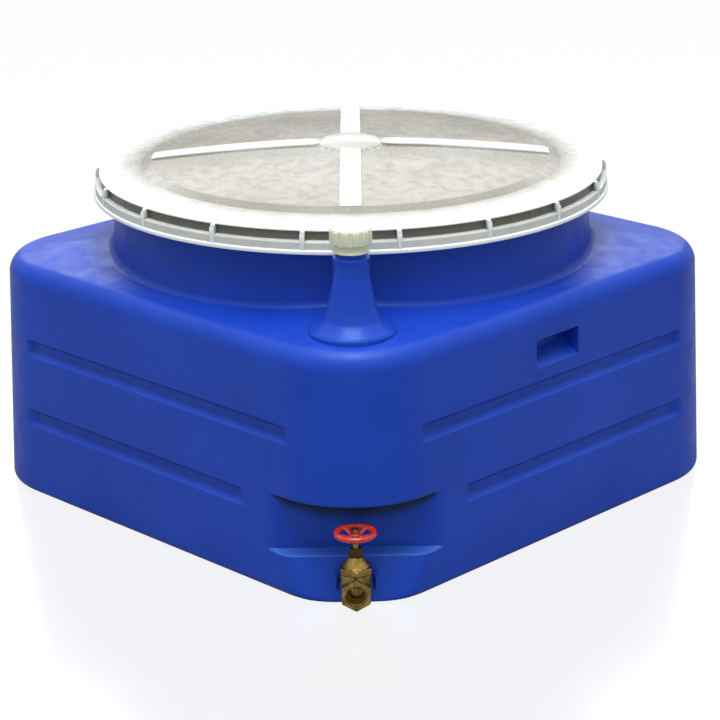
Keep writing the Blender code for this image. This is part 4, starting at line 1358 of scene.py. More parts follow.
    def neck_profile(self, inset: float, fine: bool) -> list[Point]:
        """Return the neck's profile from its foot's rounding up to the rim.

        Args:
            inset: 0 for the outside or the wall's thickness for the inside.
            fine: whether the profile is dense and ends in the rim's rounding.

        Returns:
            The profile from the bottom up.
        """
        corners = [(self.neck_foot - inset, self.neck_low_z),
                   (self.neck_foot * 0.4 + self.neck_top * 0.6 - inset, self.neck_mid_z),
                   (self.neck_top - inset, self.shoulder_z + inset),
                   (self.rim - inset, self.shoulder_z + self.shoulder_rise + inset),
                   (self.rim - inset, self.rim_z)]
        rounded = fillet(corners, self.shoulder_round, 5 if fine else 2)[1:]
        if not fine:
            return rounded
        return [*rounded[:-1], (self.rim, self.rim_z - 0.0035), (self.rim - 0.0006, self.rim_z - 0.0014),
                (self.rim - 0.0018, self.rim_z - 0.0003), (self.rim - 0.0032, self.rim_z)]

    def neck_rings(self, start: Sequence[Vector], headings: Sequence[float], inset: float,
                   quarter: Sequence[float], profile: Sequence[Point]) -> list[list[Vector]]:
        """Return the rings of the neck, from the rounding at its foot up to the rim.

        Args:
            start: the deck's last ring.
            headings: the direction of each column, seen from above.
            inset: 0 for the outside or the wall's thickness for the inside.
            quarter: the angles of a quarter turn.
            profile: the neck's profile above its foot.

        Returns:
            The rings from the bottom up.
        """
        foot = self.neck_foot + self.neck_round
        foot_z = [point.z + inset for point in start]
        bend = self.neck_round + inset
        rings = []
        for angle in quarter[1:]:
            radius = foot - bend * math.sin(angle)
            drop = self.neck_round - bend * math.cos(angle)
            rings.append([Vector((radius * math.cos(heading), radius * math.sin(heading), level + drop))
                          for heading, level in zip(headings, foot_z)])
        for radius, height in profile:
            rings.append([Vector((radius * math.cos(heading), radius * math.sin(heading), height))
                          for heading in headings])
        return rings

    def shell_rings(self, inset: float, fine: bool) -> list[list[Vector]]:
        """Return the rings of one side of the moulding, from the floor up to the rim.

        Args:
            inset: 0 for the outside or the wall's thickness for the inside.
            fine: whether the rings are dense.

        Returns:
            The rings, each with one point for each column.
        """
        turns = 8 if fine else 4
        quarter = [step / turns * math.pi / 2 for step in range(turns + 1)]
        rings = self.foot_rings(inset, quarter)
        for level in self.wall_levels(fine):
            rings.append(self.square_ring(self.half(level) - inset, self.corner - inset, level))
        rings += self.crown_rings(inset, turns)
        rings = [[self.press(point, inset) for point in ring] for ring in rings]
        headings = [math.atan2(point.y, point.x) for point in rings[-1]]
        rings += self.deck_rings(rings[-1], headings, inset, 12 if fine else 4)
        rings += self.neck_rings(rings[-1], headings, inset, quarter, self.neck_profile(inset, fine))
        return rings

    def shell(self) -> bpy.types.Object:
        """Make the hollow moulding without its spout.

        Returns:
            The moulding.
        """
        outside = self.shell_rings(0.0, True)
        inside = self.shell_rings(self.wall, False)
        return skin("tank_shell_moulding", [*outside, *reversed(inside)])

    def spout_profile(self) -> list[Point]:
        """Draw the spout's profile: threaded mouth, bead, hollow cone, flange and bore.

        Returns:
            The closed profile, heights above the floor.
        """
        cone = []
        for step in range(25):
            share = step / 24
            spread = 0.75 * share + 0.25 * share ** 4
            cone.append((self.cone + self.cone_spread * spread,
                         self.cone_top + (self.cone_foot - self.cone_top) * share))
        mouth = [(self.spout_bore, self.spout_top), (self.spout_mouth, self.spout_top),
                 (self.spout_mouth, self.bead_high), (self.spout_bead, self.bead_high),
                 (self.spout_bead, self.bead_low), (self.cone, self.bead_low), cone[0]]
        flange = [cone[-1], (0.0590, 0.3738), (self.flange, 0.3705), (self.flange, self.flange_low)]
        inner = [(self.cone_hollow, self.flange_low), (self.cone_hollow, self.cone_foot),
                 (0.0188, self.cone_top), (self.spout_bore, 0.450)]
        return [*fillet(mouth, 0.0009, 3)[1:-1], *cone, *fillet(flange, 0.0018, 4)[1:],
                *fillet(inner, 0.004, 3)]

    def corner_out(self, across: float, height: float) -> float:
        """Return how far out along the diagonal the plain corner reaches.

        Args:
            across: distance sideways from the diagonal.
            height: place above the floor.

        Returns:
            The distance out along the diagonal.
        """
        half = self.half(height)
        if across > self.corner / ROOT_TWO:
            return half * ROOT_TWO - across
        return (half - self.corner) * ROOT_TWO + math.sqrt(self.corner ** 2 - across ** 2)

    def mark_painted_light(self, item: bpy.types.Object) -> None:
        """Store the recess's painted light: above 0 for a painted highlight on the ledge, and below 0 for
        painted shade under the overhang.

        Args:
            item: the tank.
        """
        layer = item.data.attributes.new("painted_light", "FLOAT", "POINT")
        values = []
        for vertex in item.data.vertices:
            x, y, z = vertex.co
            out = (x - y) / ROOT_TWO
            painted_light = 0.0
            if z < self.recess_top and self.recess_back - 0.002 < out < self.recess_limit(z, 0.0) + 0.001:
                # Painted highlight on the ledge, fading just past its edges.
                edge = abs(z - self.ledge_z + self.ledge_drop / 2) - self.ledge_drop / 2
                painted_light = self.ledge_light_share * (1.0 - smooth_step(0.0, self.ledge_light_edge, edge))
                # Painted shade under the overhang: it reaches lower and fades over more height where the
                # overhang is deeper.
                depth = max(self.corner_out(abs(x + y) / ROOT_TWO, z) - self.recess_back, 0.0)
                shade_top = self.recess_top - self.painted_shade_drop * depth
                shade_low = shade_top - self.painted_shade_edge - self.painted_shade_fade * depth
                painted_light -= smooth_step(shade_low, shade_top, z)
            values.append(painted_light)
        layer.data.foreach_set("value", values)

    def make(self) -> bpy.types.Object:
        """Build the tank and dress it.

        Returns:
            The tank.
        """
        shell = self.shell()
        spout = self.shop.upright(self.spout_out)
        drain = self.shop.along(self.drain_z)
        hole = lathe("spout_hole", rod_profile(self.spout_hole, 0.33, 0.40), 64, spout)
        combine(shell, [hole], "DIFFERENCE")
        boss = [(self.drain_hole, self.drain_face), (self.drain_boss, self.drain_face),
                (self.drain_boss, self.drain_inner_face + self.wall),
                (self.drain_hole, self.drain_inner_face + self.wall)]
        blue = self.shop.finishes[Slot.TANK]
        pieces = [
            shell,
            lathe("spout", self.spout_profile(), 96, spout),
            lathe("drain_boss", fillet(boss, 0.001, 3, True), 64, drain),
            self.shop.thread.cut_on("spout_thread", self.spout_mouth, low=0.4790, rise=0.026, pitch=0.0052,
                                    bar=0.0009, material=blue, place=spout),
            self.shop.thread.cut_on("neck_thread", 0.3764, low=0.4635, rise=0.021, pitch=0.0100,
                                    bar=0.0012, material=blue),
        ]
        tank = join("tank_moulding", pieces)
        self.mark_painted_light(tank)
        self.shop.dress(tank, Slot.TANK, "tank", "tank_shell", crease=40.0)
        return tank


# The lid

@dataclass
class Lid:
    """The wide screw lid: stepped dome with a cross of bars, boss and ribbed skirt."""

    shop: Workshop
    level: float = 0.4955
    thickness: float = 0.0030
    lip: float = 0.3830
    band: float = 0.3800
    band_height: float = 0.0155
    band_thickness: float = 0.0025
    skirt: float = 0.3892
    bead: float = 0.3920
    skirt_height: float = 0.0340
    bead_height: float = 0.0065
    step: float = 0.3195
    step_z: float = 0.0055
    dome: float = 0.3040
    edge_rise: float = 0.0120
    top_rise: float = 0.0300
    boss: float = 0.0520
    boss_rise: float = 0.0120
    ribs: int = 18
    rib_start: float = math.radians(-35)
    rib_width: float = 0.0070
    rib_depth: float = 0.0012
    bar_width: float = 0.0310
    bar_height: float = 0.0045
    land: float = 0.3695
    land_inner: float = 0.3665
    land_drop: float = 0.0035
    boss_look: float = 0.35
    lip_look: float = 0.06
    # Below 0: painted shade over the recessed band under the lip.
    band_shade_look: float = -0.7
    skirt_look: float = 0.45
    bead_look: float = 0.95

    def rise(self, radius: float) -> float:
        """Return the dome's rise above the lip at a radius."""
        share = (self.dome - radius) / (self.dome - self.boss)
        return self.edge_rise + (self.top_rise - self.edge_rise) * math.sin(share * 0.45 * math.pi)

    def radii(self, steps: int) -> list[float]:
        """Return radii across the dome, from the boss out to its edge."""
        return [self.boss + (self.dome - self.boss) * step / steps for step in range(steps + 1)]

    def profile(self) -> list[Point]:
        """Draw the lid's profile.

        Returns:
            The profile, heights from the lip.
        """
        crown = self.rise(self.boss)
        boss = [(0.0, crown + self.boss_rise)]
        for step in range(1, 15):
            share = step / 15
            boss.append((self.boss * share, crown + self.boss_rise * (1.0 - share ** 2.6) ** 0.72))
        dome = [(radius, self.rise(radius)) for radius in self.radii(30)]
        outside = [(self.step, self.step_z), (self.lip, 0.0), (self.lip, -self.thickness),
                   (self.band, -self.thickness), (self.band, -self.band_height),
                   (self.skirt, -self.band_height - 0.0012),
                   (self.skirt, self.bead_height - self.skirt_height),
                   (self.bead, self.bead_height - self.skirt_height - 0.0012),
                   (self.bead, -self.skirt_height)]
        inside = [(self.skirt - self.thickness, -self.skirt_height),
                  (self.skirt - self.thickness, -self.band_height - self.thickness),
                  (self.band - self.band_thickness, -self.band_height),
                  (self.band - self.band_thickness, -self.land_drop), (self.land, -self.land_drop),
                  (self.land_inner, -0.0018), (self.step, self.step_z - self.thickness),
                  (self.dome, self.edge_rise - self.thickness)]
        edge = fillet([dome[-2], dome[-1], *outside, *inside], 0.0012, 3)
        under = [(radius, self.rise(radius) - self.thickness) for radius in reversed(self.radii(12))]
        return [*boss, *dome[:-1], *edge[1:-1], *under, (0.0, crown + 0.0018)]

    def bar(self) -> bpy.types.Object:
        """Make one radial bar with soft edges.

        Returns:
            The bar, along +X.
        """
        radii = self.radii(20)
        upper = [(radius, self.rise(radius) + self.bar_height) for radius in radii]
        upper[0] = (self.boss - 0.006, upper[0][1] + 0.0004)
        upper[-1] = (self.dome - self.bar_height * 0.8, upper[-1][1] - 0.0006)
        lower = [(radius, self.rise(radius) - self.thickness / 2) for radius in radii]
        lower[0] = (self.boss - 0.006, lower[0][1])
        outline = [*upper, (self.dome - 0.0004, self.edge_rise + 0.001), *reversed(lower)]
        return bevelled(slab("lid_bar_template", outline, self.bar_width / 2), 0.0016, 3)

    def rib(self) -> bpy.types.Object:
        """Make one skirt rib with rounded edges.

        Returns:
            The rib, whose origin lies on the axis side.
        """
        low = self.bead_height - self.skirt_height - 0.0010
        high = -self.thickness / 2
        depth = self.skirt + self.rib_depth - self.band
        outline = [(-0.0015, high), (depth - 0.004, high), (depth, -self.band_height * 0.5), (depth, low),
                   (-0.0015, low)]
        return bevelled(slab("lid_rib_template", outline, self.rib_width / 2), 0.0012, 3)

    def mark_thickness(self, item: bpy.types.Object) -> None:
        """Store how thick the plastic looks: 1 on bars, lip and ribs, and below 0 for painted shade over
        the recessed band under the lip.

        Args:
            item: the lid.
        """
        layer = item.data.attributes.new("thickness", "FLOAT", "POINT")
        values = []
        for vertex in item.data.vertices:
            x, y, z = vertex.co
            radius = math.hypot(x, y)
            height = z - self.level
            share = 0.0
            if radius < self.boss:
                share = self.boss_look
            elif radius < self.dome and height > self.rise(radius) + 0.0006:
                share = 1.0
            elif radius > self.dome:
                outer = smooth_step(self.lip - 0.009, self.lip - 0.001, radius)
                share = self.lip_look + (1.0 - self.lip_look) * outer
            if radius > self.band - 0.001 and height < -0.002:
                # Painted shade on the recessed band; the skirt and bead below it keep their own tones.
                share = self.band_shade_look if radius < self.band + 0.0006 else self.skirt_look
                if radius > self.skirt + 0.0006:
                    share = self.bead_look
            values.append(share)
        layer.data.foreach_set("value", values)

    def make(self) -> bpy.types.Object:
        """Build the lid and dress it.

        Returns:
            The lid.
        """
        place = Matrix.Translation((0.0, 0.0, self.level))
        finish = self.shop.finishes[Slot.LID]
        plate = lathe("lid_plate", self.profile(), 256, place)
        bars = self.shop.repeat.around("lid_bars", self.bar(), 4, 0.0, math.pi / 4, finish, place)
        ribs = self.shop.repeat.around("lid_ribs", self.rib(), self.ribs, self.band, self.rib_start,
                                       finish, place)
        lid = join("lid_moulding", [plate, bars, ribs])
        self.mark_thickness(lid)
        self.shop.dress(lid, Slot.LID, "lid", "lid", crease=32.0)
        return lid

    def make_seal(self) -> bpy.types.Object:
        """Build the seal ring under the lid and dress it.

        Returns:
            The seal.
        """
        low, high = 0.4893, 0.4917
        inner, outer = 0.3700, 0.3760
        ring = [(outer, high), (outer, low), (inner, low), (inner, high)]
        seal = lathe("lid_seal_ring", fillet(ring, 0.0009, 4, True), 192)
        self.shop.dress(seal, Slot.SEAL, "lid_seal", "lid_seal")
        return seal


# The spout's cap

@dataclass
class SpoutCap:
    """The ribbed screw cap of the spout and its liner."""

    shop: Workshop
    out: float = 0.440
    foot: float = 0.4818
    top: float = 0.5160
    collar: float = 0.0256
    collar_height: float = 0.0112
    grip: float = 0.0282
    ribs: int = 12
    rib_width: float = 0.0100
    rib_height: float = 0.0011
    inner: float = 0.0216
    roof: float = 0.0035
    liner: float = 0.0213

    def profile(self) -> list[Point]:
        """Draw the cap's profile.

        Returns:
            The profile about the cap's axis.
        """
        shoulder = self.foot + self.collar_height
        corners = [(0.0, self.top - 0.0003), (0.0180, self.top - 0.0003), (0.0190, self.top),
                   (self.grip - 0.0006, self.top - 0.0004), (self.grip, self.top - 0.0016),
                   (self.grip, shoulder + 0.0010), (self.collar - 0.0012, shoulder - 0.0012),
                   (self.collar - 0.0008, self.foot + 0.0032), (self.collar, self.foot + 0.0024),
                   (self.collar, self.foot), (self.inner, self.foot), (self.inner, self.top - self.roof),
                   (0.0, self.top - self.roof)]
        return fillet(corners, 0.0007, 3)

    def rib(self) -> bpy.types.Object:
        """Make one grip rib with rounded edges.

        Returns:
            The rib, whose origin lies on the axis side.
        """
        low = self.foot + self.collar_height + 0.0012
        high = self.top - 0.0016
        outline = [(-0.0012, low), (self.rib_height, low + 0.0006), (self.rib_height, high - 0.0012),
                   (-0.0012, high)]
        return bevelled(slab("cap_rib_template", outline, self.rib_width / 2), 0.0009, 3)

    def make(self) -> bpy.types.Object:
        """Build the cap and dress it.

        Returns:
            The cap.
        """
        place = self.shop.upright(self.out)
        finish = self.shop.finishes[Slot.CAP]
        cup = lathe("cap_cup", self.profile(), 144, place)
        ribs = self.shop.repeat.around("cap_ribs", self.rib(), self.ribs, self.grip, math.pi / self.ribs,
                                       finish, place)
        cap = join("spout_cap_moulding", [cup, ribs])
        self.shop.dress(cap, Slot.CAP, "cap", "spout_cap")
        return cap

    def make_liner(self) -> bpy.types.Object:
        """Build the liner disc and dress it.

        Returns:
            The liner.
        """
        ceiling = self.top - self.roof
        profile = rod_profile(self.liner, ceiling - 0.0023, ceiling - 0.0003, 0.0004)
        disc = lathe("spout_cap_liner_disc", profile, 96, self.shop.upright(self.out))
        self.shop.dress(disc, Slot.LINER, "cap_liner", "spout_cap_liner")
        return disc


# The drain fitting

@dataclass
class DrainFitting:
    """The pipe nipple through the drain boss with its washers and lock nuts."""

    shop: Workshop
    level: float = 0.0322
    inner_face: float = 0.4750
    outer_face: float = 0.5050
    gap: float = 0.0003
    pipe: float = 0.0166
    bore: float = 0.0135
    washer: float = 0.0205
    washer_thickness: float = 0.0025
    nut_thickness: float = 0.0066
    inner_flats: float = 0.0420
    outer_flats: float = 0.0395
    head: float = 0.5289

    def washer_ring(self, name: str, low: float) -> None:
        """Build one rubber washer.

        Args:
            name: the CAD node's name.
            low: where it starts along the drain's axis.
        """
        high = low + self.washer_thickness
        hole = self.pipe + self.gap
        ring = [(self.washer, high), (self.washer, low), (hole, low), (hole, high)]
        piece = lathe(name + "_ring", fillet(ring, 0.0007, 3, True), 96, self.shop.along(self.level))
        self.shop.dress(piece, Slot.SEAL, "tank", name)

    def lock_nut(self, name: str, flats: float, low: float) -> None:
        """Build one lock nut.

        Args:
            name: the CAD node's name.
            flats: its width across the flats.
            low: where it starts along the drain's axis.
        """
        nut = hexagon(name + "_hexagon", flats, self.nut_thickness, chamfer=0.0012,
                      bore=self.pipe + self.gap, turn=math.radians(30),
                      place=self.shop.along(self.level) @ Matrix.Translation((0.0, 0.0, low)))
        self.shop.dress(bevelled(nut, 0.0003), Slot.BRASS, "tank", name)

    def make(self) -> None:
        """Build the nipple, both washers and both lock nuts."""
        inner_washer = self.inner_face - self.gap - self.washer_thickness
        inner_nut = inner_washer - self.gap - self.nut_thickness
        outer_washer = self.outer_face + self.gap
        tail = inner_nut - 0.0030
        place = self.shop.along(self.level)
        root = self.pipe - 0.0004
        ring = [(root, self.head), (root, tail), (self.bore, tail), (self.bore, self.head)]
        tube = lathe("nipple_tube", fillet(ring, 0.0008, 3, True), 96, place)
        thread = self.shop.thread.cut_on("nipple_thread", self.pipe - 0.0005, low=tail + 0.001,
                                         rise=self.head - tail - 0.002, pitch=THREAD_PITCH, bar=0.0005,
                                         material=self.shop.finishes[Slot.BRASS], place=place)
        nipple = join("drain_nipple_pipe", [tube, thread])
        self.shop.dress(nipple, Slot.BRASS, "tank", "drain_nipple")
        self.washer_ring("inner_washer", inner_washer)
        self.washer_ring("outer_washer", outer_washer)
        self.lock_nut("inner_lock_nut", self.inner_flats, inner_nut)
        outer_nut = outer_washer + self.washer_thickness + self.gap
        self.lock_nut("outer_lock_nut", self.outer_flats, outer_nut)


# The gate valve

@dataclass
class GateValve:
    """The brass gate valve: body, bonnet, gland and stem."""

    shop: Workshop
    level: float = 0.0322
    inlet: float = 0.5150
    outlet: float = 0.5780
    stem_out: float = 0.5465
    end_flats: float = 0.0395
    end_length: float = 0.0150
    end_chamfer: float = 0.0012
    barrel: float = 0.0172
    inlet_radius: float = 0.0169
    outlet_radius: float = 0.0152
    bore: float = 0.0118
    socket_depth: float = 0.0142
    chamber: float = 0.0225
    chamber_drop: float = 0.0220
    chamber_rise: float = 0.0229
    cavity: float = 0.0150
    cavity_foot: float = 0.0120
    cavity_drop: float = 0.0139
    gate_half: float = 0.0172
    gate_travel: float = 0.0250
    bonnet_flats: float = 0.0420
    bonnet_z: float = 0.0565
    bonnet_height: float = 0.0090
    dome: float = 0.0190
    dome_height: float = 0.0133
    crest: float = 0.0092
    spigot: float = 0.0066
    spigot_height: float = 0.0090
    gland_flats: float = 0.0165
    gland_z: float = 0.0791
    gland_height: float = 0.0122
    packing: float = 0.0054
    stem: float = 0.0040
    stem_hole: float = 0.0044
    blank: float = 0.05

    def make_body(self) -> bpy.types.Object:
        """Build the body with its hexagon ends and the way through.

        Returns:
            The body.
        """
        stem = self.shop.upright(self.stem_out)
        drain = self.shop.along(self.level)
        top = self.level + self.chamber_rise
        shell = [(0.0, top), (self.chamber - 0.0014, top), (self.chamber - 0.0010, top - 0.004)]
        for step in range(9, 0, -1):
            angle = step / 10 * math.pi / 2
            shell.append((self.chamber * math.sin(angle), self.level - self.chamber_drop * math.cos(angle)))
        shell.append((0.0, self.level - self.chamber_drop))
        body = lathe("valve_chamber", shell, 96, stem)
        tube = rod_profile(self.barrel, self.inlet + 0.006, self.outlet - 0.006)
        barrel = lathe("valve_barrel", tube, 96, drain)
        ends = [hexagon(name, self.end_flats, self.end_length, self.end_chamfer,
                        place=drain @ Matrix.Translation((0.0, 0.0, low)))
                for name, low in (("valve_inlet_end", self.inlet),
                                  ("valve_outlet_end", self.outlet - self.end_length))]
        combine(body, [barrel, *ends], "UNION")
        cast(body, 0.0005, 2)
        far = self.outlet + 0.01
        near = self.inlet - 0.01
        outlet_floor = self.outlet - self.socket_depth
        inlet_floor = self.inlet + self.socket_depth
        way = [(0.0, far), (self.outlet_radius, far), (self.outlet_radius, self.outlet - 0.0008),
               (self.outlet_radius - 0.0005, self.outlet - 0.0013),
               (self.outlet_radius - 0.0005, outlet_floor), (self.bore, outlet_floor),
               (self.bore, inlet_floor), (self.inlet_radius, inlet_floor), (self.inlet_radius, near),
               (0.0, near)]
        cavity = [(0.0, top + 0.01), (self.cavity, top + 0.01), (self.cavity, self.level),
                  (self.cavity_foot, self.level - self.cavity_drop), (0.0, self.level - self.cavity_drop)]
        trim = lathe("valve_trim", rod_profile(self.blank, self.inlet, self.outlet), 64, drain)
        combine(body, [trim], "INTERSECT")
        hollows = [lathe("valve_way", way, 96, drain), lathe("valve_seat", cavity, 96, stem)]
        combine(body, hollows, "DIFFERENCE")
        thread = self.shop.thread.cut_on("outlet_thread", self.outlet_radius - 0.0004,
                                         low=self.outlet - 0.0125, rise=0.0105, pitch=THREAD_PITCH,
                                         bar=0.00055, material=self.shop.finishes[Slot.BRASS], place=drain)
        valve = join("valve_body_casting", [body, thread])
        self.shop.dress(valve, Slot.BRASS, "tank", "valve_body", crease=50.0)
        return valve

    def make_bonnet(self) -> bpy.types.Object:
        """Build the bonnet: hexagon, dome and packing box.

        Returns:
            The bonnet.
        """
        stem = self.shop.upright(self.stem_out)
        hex_top = self.bonnet_z + self.bonnet_height
        crest_z = hex_top + self.dome_height
        nut = hexagon("bonnet_hexagon", self.bonnet_flats, self.bonnet_height, chamfer=0.0028,
                      place=stem @ Matrix.Translation((0.0, 0.0, self.bonnet_z)))
        outline = [(0.0, crest_z + self.spigot_height), (self.spigot, crest_z + self.spigot_height),
                   (self.spigot, crest_z), (self.crest, crest_z)]
        for wide, high in ((0.58, 0.84), (0.66, 0.70), (0.80, 0.44), (0.90, 0.22)):
            outline.append((self.dome * wide, hex_top + self.dome_height * high))
        outline += [(self.dome, hex_top - 0.0005), (self.dome, self.bonnet_z + 0.001),
                    (0.0, self.bonnet_z + 0.001)]
        dome = lathe("bonnet_dome", fillet(outline, 0.0012, 3), 96, stem)
        combine(nut, [dome], "UNION")
        cast(nut, 0.00045, 2)
        floor = lathe("bonnet_floor", rod_profile(self.blank, self.bonnet_z, 0.2), 64, stem)
        combine(nut, [floor], "INTERSECT")
        ceiling = self.level + self.gate_half + self.gate_travel + 0.0004
        over = 0.12
        under = self.bonnet_z - 0.01
        seat = crest_z + 0.0003
        cavity = [(0.0, over), (self.packing, over), (self.packing, seat), (self.stem_hole, seat),
                  (self.stem_hole, ceiling), (0.0072, ceiling), (0.0072, ceiling - 0.003),
                  (0.0126, hex_top + 0.0004), (self.cavity, self.bonnet_z + 0.0045), (self.cavity, under),
                  (0.0, under)]
        combine(nut, [lathe("bonnet_cavity", cavity, 96, stem)], "DIFFERENCE")
        nut.name = "valve_bonnet_casting"
        self.shop.dress(nut, Slot.BRASS, "tank", "valve_bonnet", crease=50.0)
        return nut

    def make_gland(self) -> None:
        """Build the gland nut and dress it."""
        stem = self.shop.upright(self.stem_out)
        nut = hexagon("gland_hexagon", self.gland_flats, self.gland_height, chamfer=0.0012,
                      bore=self.stem + 0.0004, turn=math.radians(30),
                      place=stem @ Matrix.Translation((0.0, 0.0, self.gland_z)))
        roof = self.gland_z + self.gland_height - 0.002
        hollow = lathe("gland_hollow", rod_profile(self.spigot + 0.0003, 0.07, roof), 64, stem)
        combine(nut, [hollow], "DIFFERENCE")
        # The gland nut gets the darker brass: painted shade.
        self.shop.dress(bevelled(nut, 0.0003), Slot.BRASS, "tank", "gland_nut",
                        finish=self.shop.finishes.shaded_brass)

    def make_stem(self) -> bpy.types.Object:
        """Build the stem with its thread, collar, seat and tip.

        Returns:
            The stem.
        """
        foot, collar, collar_top = 0.0444, 0.0794, 0.0806
        hub, hub_top, top = 0.1010, 0.1130, 0.1192
        tip_radius, hub_radius, collar_radius = 0.0026, 0.0032, 0.0049
        root = self.stem - 0.0005
        profile = [(0.0, top), (tip_radius, top), (tip_radius, hub_top), (hub_radius, hub_top),
                   (hub_radius, hub), (self.stem, hub - 0.0003), (self.stem, collar_top),
                   (collar_radius, collar_top), (collar_radius, collar), (self.stem, collar),
                   (root, collar - 0.004), (root, foot), (0.0, foot)]
        place = self.shop.upright(self.stem_out)
        rod = lathe("stem_rod", fillet(profile, 0.0004, 2), 64, place)
        brass = self.shop.finishes[Slot.BRASS]
        screw = self.shop.thread.cut_on("stem_screw", self.stem - 0.0007, low=foot + 0.001, rise=0.028,
                                        pitch=0.0040, bar=0.0006, material=brass, place=place)
        tip = self.shop.thread.cut_on("stem_tip_thread", 0.00245, low=hub_top + 0.0006, rise=0.0052,
                                      pitch=0.0008, bar=0.00022, material=brass, place=place)
        stem = join("valve_stem_rod", [rod, screw, tip])
        self.shop.dress(stem, Slot.BRASS, "spindle", "valve_stem")
        return stem

    def carry_inner_parts(self) -> None:
        """Give the CAD's own hidden pieces their finishes."""
        nodes = self.shop.frame["nodes"]
        for name, slot in (("valve_gate", Slot.BRASS), ("gland_follower", Slot.BRASS),
                           ("gland_packing", Slot.PACKING), ("bonnet_gasket", Slot.PACKING)):
            nodes[name].data.materials.clear()
            nodes[name].data.materials.append(self.shop.finishes[slot])
            LOG.info("%s: kept from the frame", name)

    def make(self) -> None:
        """Build the whole valve."""
        self.make_body()
        self.make_bonnet()
        self.make_gland()
        self.make_stem()
        self.carry_inner_parts()


# The handwheel

@dataclass
class Handwheel:
    """The red handwheel on the stem, held by a washer and a nut."""

    shop: Workshop
    out: float = 0.5465
    level: float = 0.1127
    radius: float = 0.0300
    rim: float = 0.0084
    hub: float = 0.0085
    hub_z: float = 0.1010
    hub_height: float = 0.0120
    spokes: int = 5
    spoke_width: float = 0.0078
    spoke_thickness: float = 0.0050
    seat: float = 0.0035
    tip_hole: float = 0.0029
    washer: float = 0.0062
    washer_z: float = 0.1133
    washer_thickness: float = 0.0008
    nut_flats: float = 0.0100
    nut_height: float = 0.0038
    nut_z: float = 0.1144

    def spoke(self) -> bpy.types.Object:
        """Make one spoke.

        Returns:
            The spoke, along +X from the wheel's axis.
        """
        run = self.radius - self.rim / 2
        level = self.hub_z + self.hub_height / 2
        rings = []
        for step in range(9):
            share = step / 8
            reach = self.hub * 0.6 + (run - self.hub * 0.6) * share
            lift = level + (self.level - level) * smooth_step(0.0, 1.0, share)
            wide = self.spoke_width / 2 * (1.0 - 0.25 * math.sin(share * math.pi))
            thick = self.spoke_thickness / 2 * (1.0 - 0.15 * share)
            angles = [turn * math.pi / 8 for turn in range(16)]
            rings.append([Vector((reach, wide * math.cos(angle), lift + thick * math.sin(angle)))
                          for angle in angles])
        return skin("wheel_spoke_template", rings)

    def make(self) -> None:
        """Build the wheel, its washer and its nut."""
        place = self.shop.upright(self.out)
        red = self.shop.finishes[Slot.WHEEL]
        half = self.rim / 2
        circle = []
        for step in range(24):
            angle = -step * math.pi / 12
            reach = self.radius - half + half * math.cos(angle)
            circle.append((reach, self.level + half * math.sin(angle)))
        wheel = lathe("wheel_rim", circle, 160, place)
        top = self.hub_z + self.hub_height
        hub = [(0.0, top), (self.hub * 0.86, top), (self.hub * 0.92, top - 0.004), (self.hub, self.hub_z),
               (0.0, self.hub_z)]
        hub_piece = lathe("wheel_hub", fillet(hub, 0.0015, 3), 96, place)
        spokes = self.shop.repeat.around("wheel_spokes", self.spoke(), self.spokes, 0.0, 0.0, red, place)
        combine(wheel, [hub_piece, spokes], "UNION")
        cast(wheel, 0.00055, 4)
        hole = lathe("wheel_hole", rod_profile(self.seat, 0.09, 0.13), 48, place)
        combine(wheel, [hole], "DIFFERENCE")
        wheel.name = "handwheel_casting"
        self.shop.dress(wheel, Slot.WHEEL, "spindle", "handwheel", crease=60.0)
        washer_top = self.washer_z + self.washer_thickness
        ring = [(self.washer, washer_top), (self.washer, self.washer_z), (self.tip_hole, self.washer_z),
                (self.tip_hole, washer_top)]
        washer = lathe("wheel_washer_ring", fillet(ring, 0.0002, 2, True), 64, place)
        self.shop.dress(washer, Slot.BRASS, "spindle", "wheel_washer")
        nut = hexagon("wheel_nut_hexagon", self.nut_flats, self.nut_height, chamfer=0.0008,
                      bore=self.tip_hole, turn=math.radians(30),
                      place=place @ Matrix.Translation((0.0, 0.0, self.nut_z)))
        self.shop.dress(bevelled(nut, 0.0002), Slot.BRASS, "spindle", "wheel_nut")


# The studio

@dataclass(frozen=True)
class StudioFloor:
    """Floor that is pale to the object and white to the camera, with a faint blurred reflection."""

    name: str = "studio_white"
    colour: Color = (0.30, 0.31, 0.33)
    glow: float = 1.10
    mirror: float = 0.20
    blur: float = 0.22

    def make(self) -> bpy.types.Material:
        """Make the material.

        Returns:
            The material.
        """
        shader = Shader(self.name)
        tree = shader.tree
        shader.set(Base_Color=(*self.colour, 1.0), Roughness=0.6, Specular_IOR_Level=0.2)
        light = shader.node("ShaderNodeEmission", Color=WHITE, Strength=self.glow)
        mirror = shader.node("ShaderNodeBsdfGlossy", Color=WHITE, Roughness=self.blur)
        seen = tree.nodes.new("ShaderNodeMixShader")
        seen.inputs[0].default_value = self.mirror
        tree.links.new(light.outputs[0], seen.inputs[1])
        tree.links.new(mirror.outputs[0], seen.inputs[2])
        mixed = tree.nodes.new("ShaderNodeMixShader")
        tree.links.new(tree.nodes.new("ShaderNodeLightPath").outputs["Is Camera Ray"], mixed.inputs[0])
        tree.links.new(shader.surface.outputs[0], mixed.inputs[1])
        tree.links.new(seen.outputs[0], mixed.inputs[2])
        tree.links.new(mixed.outputs[0], tree.nodes["Material Output"].inputs[0])
        return shader.material


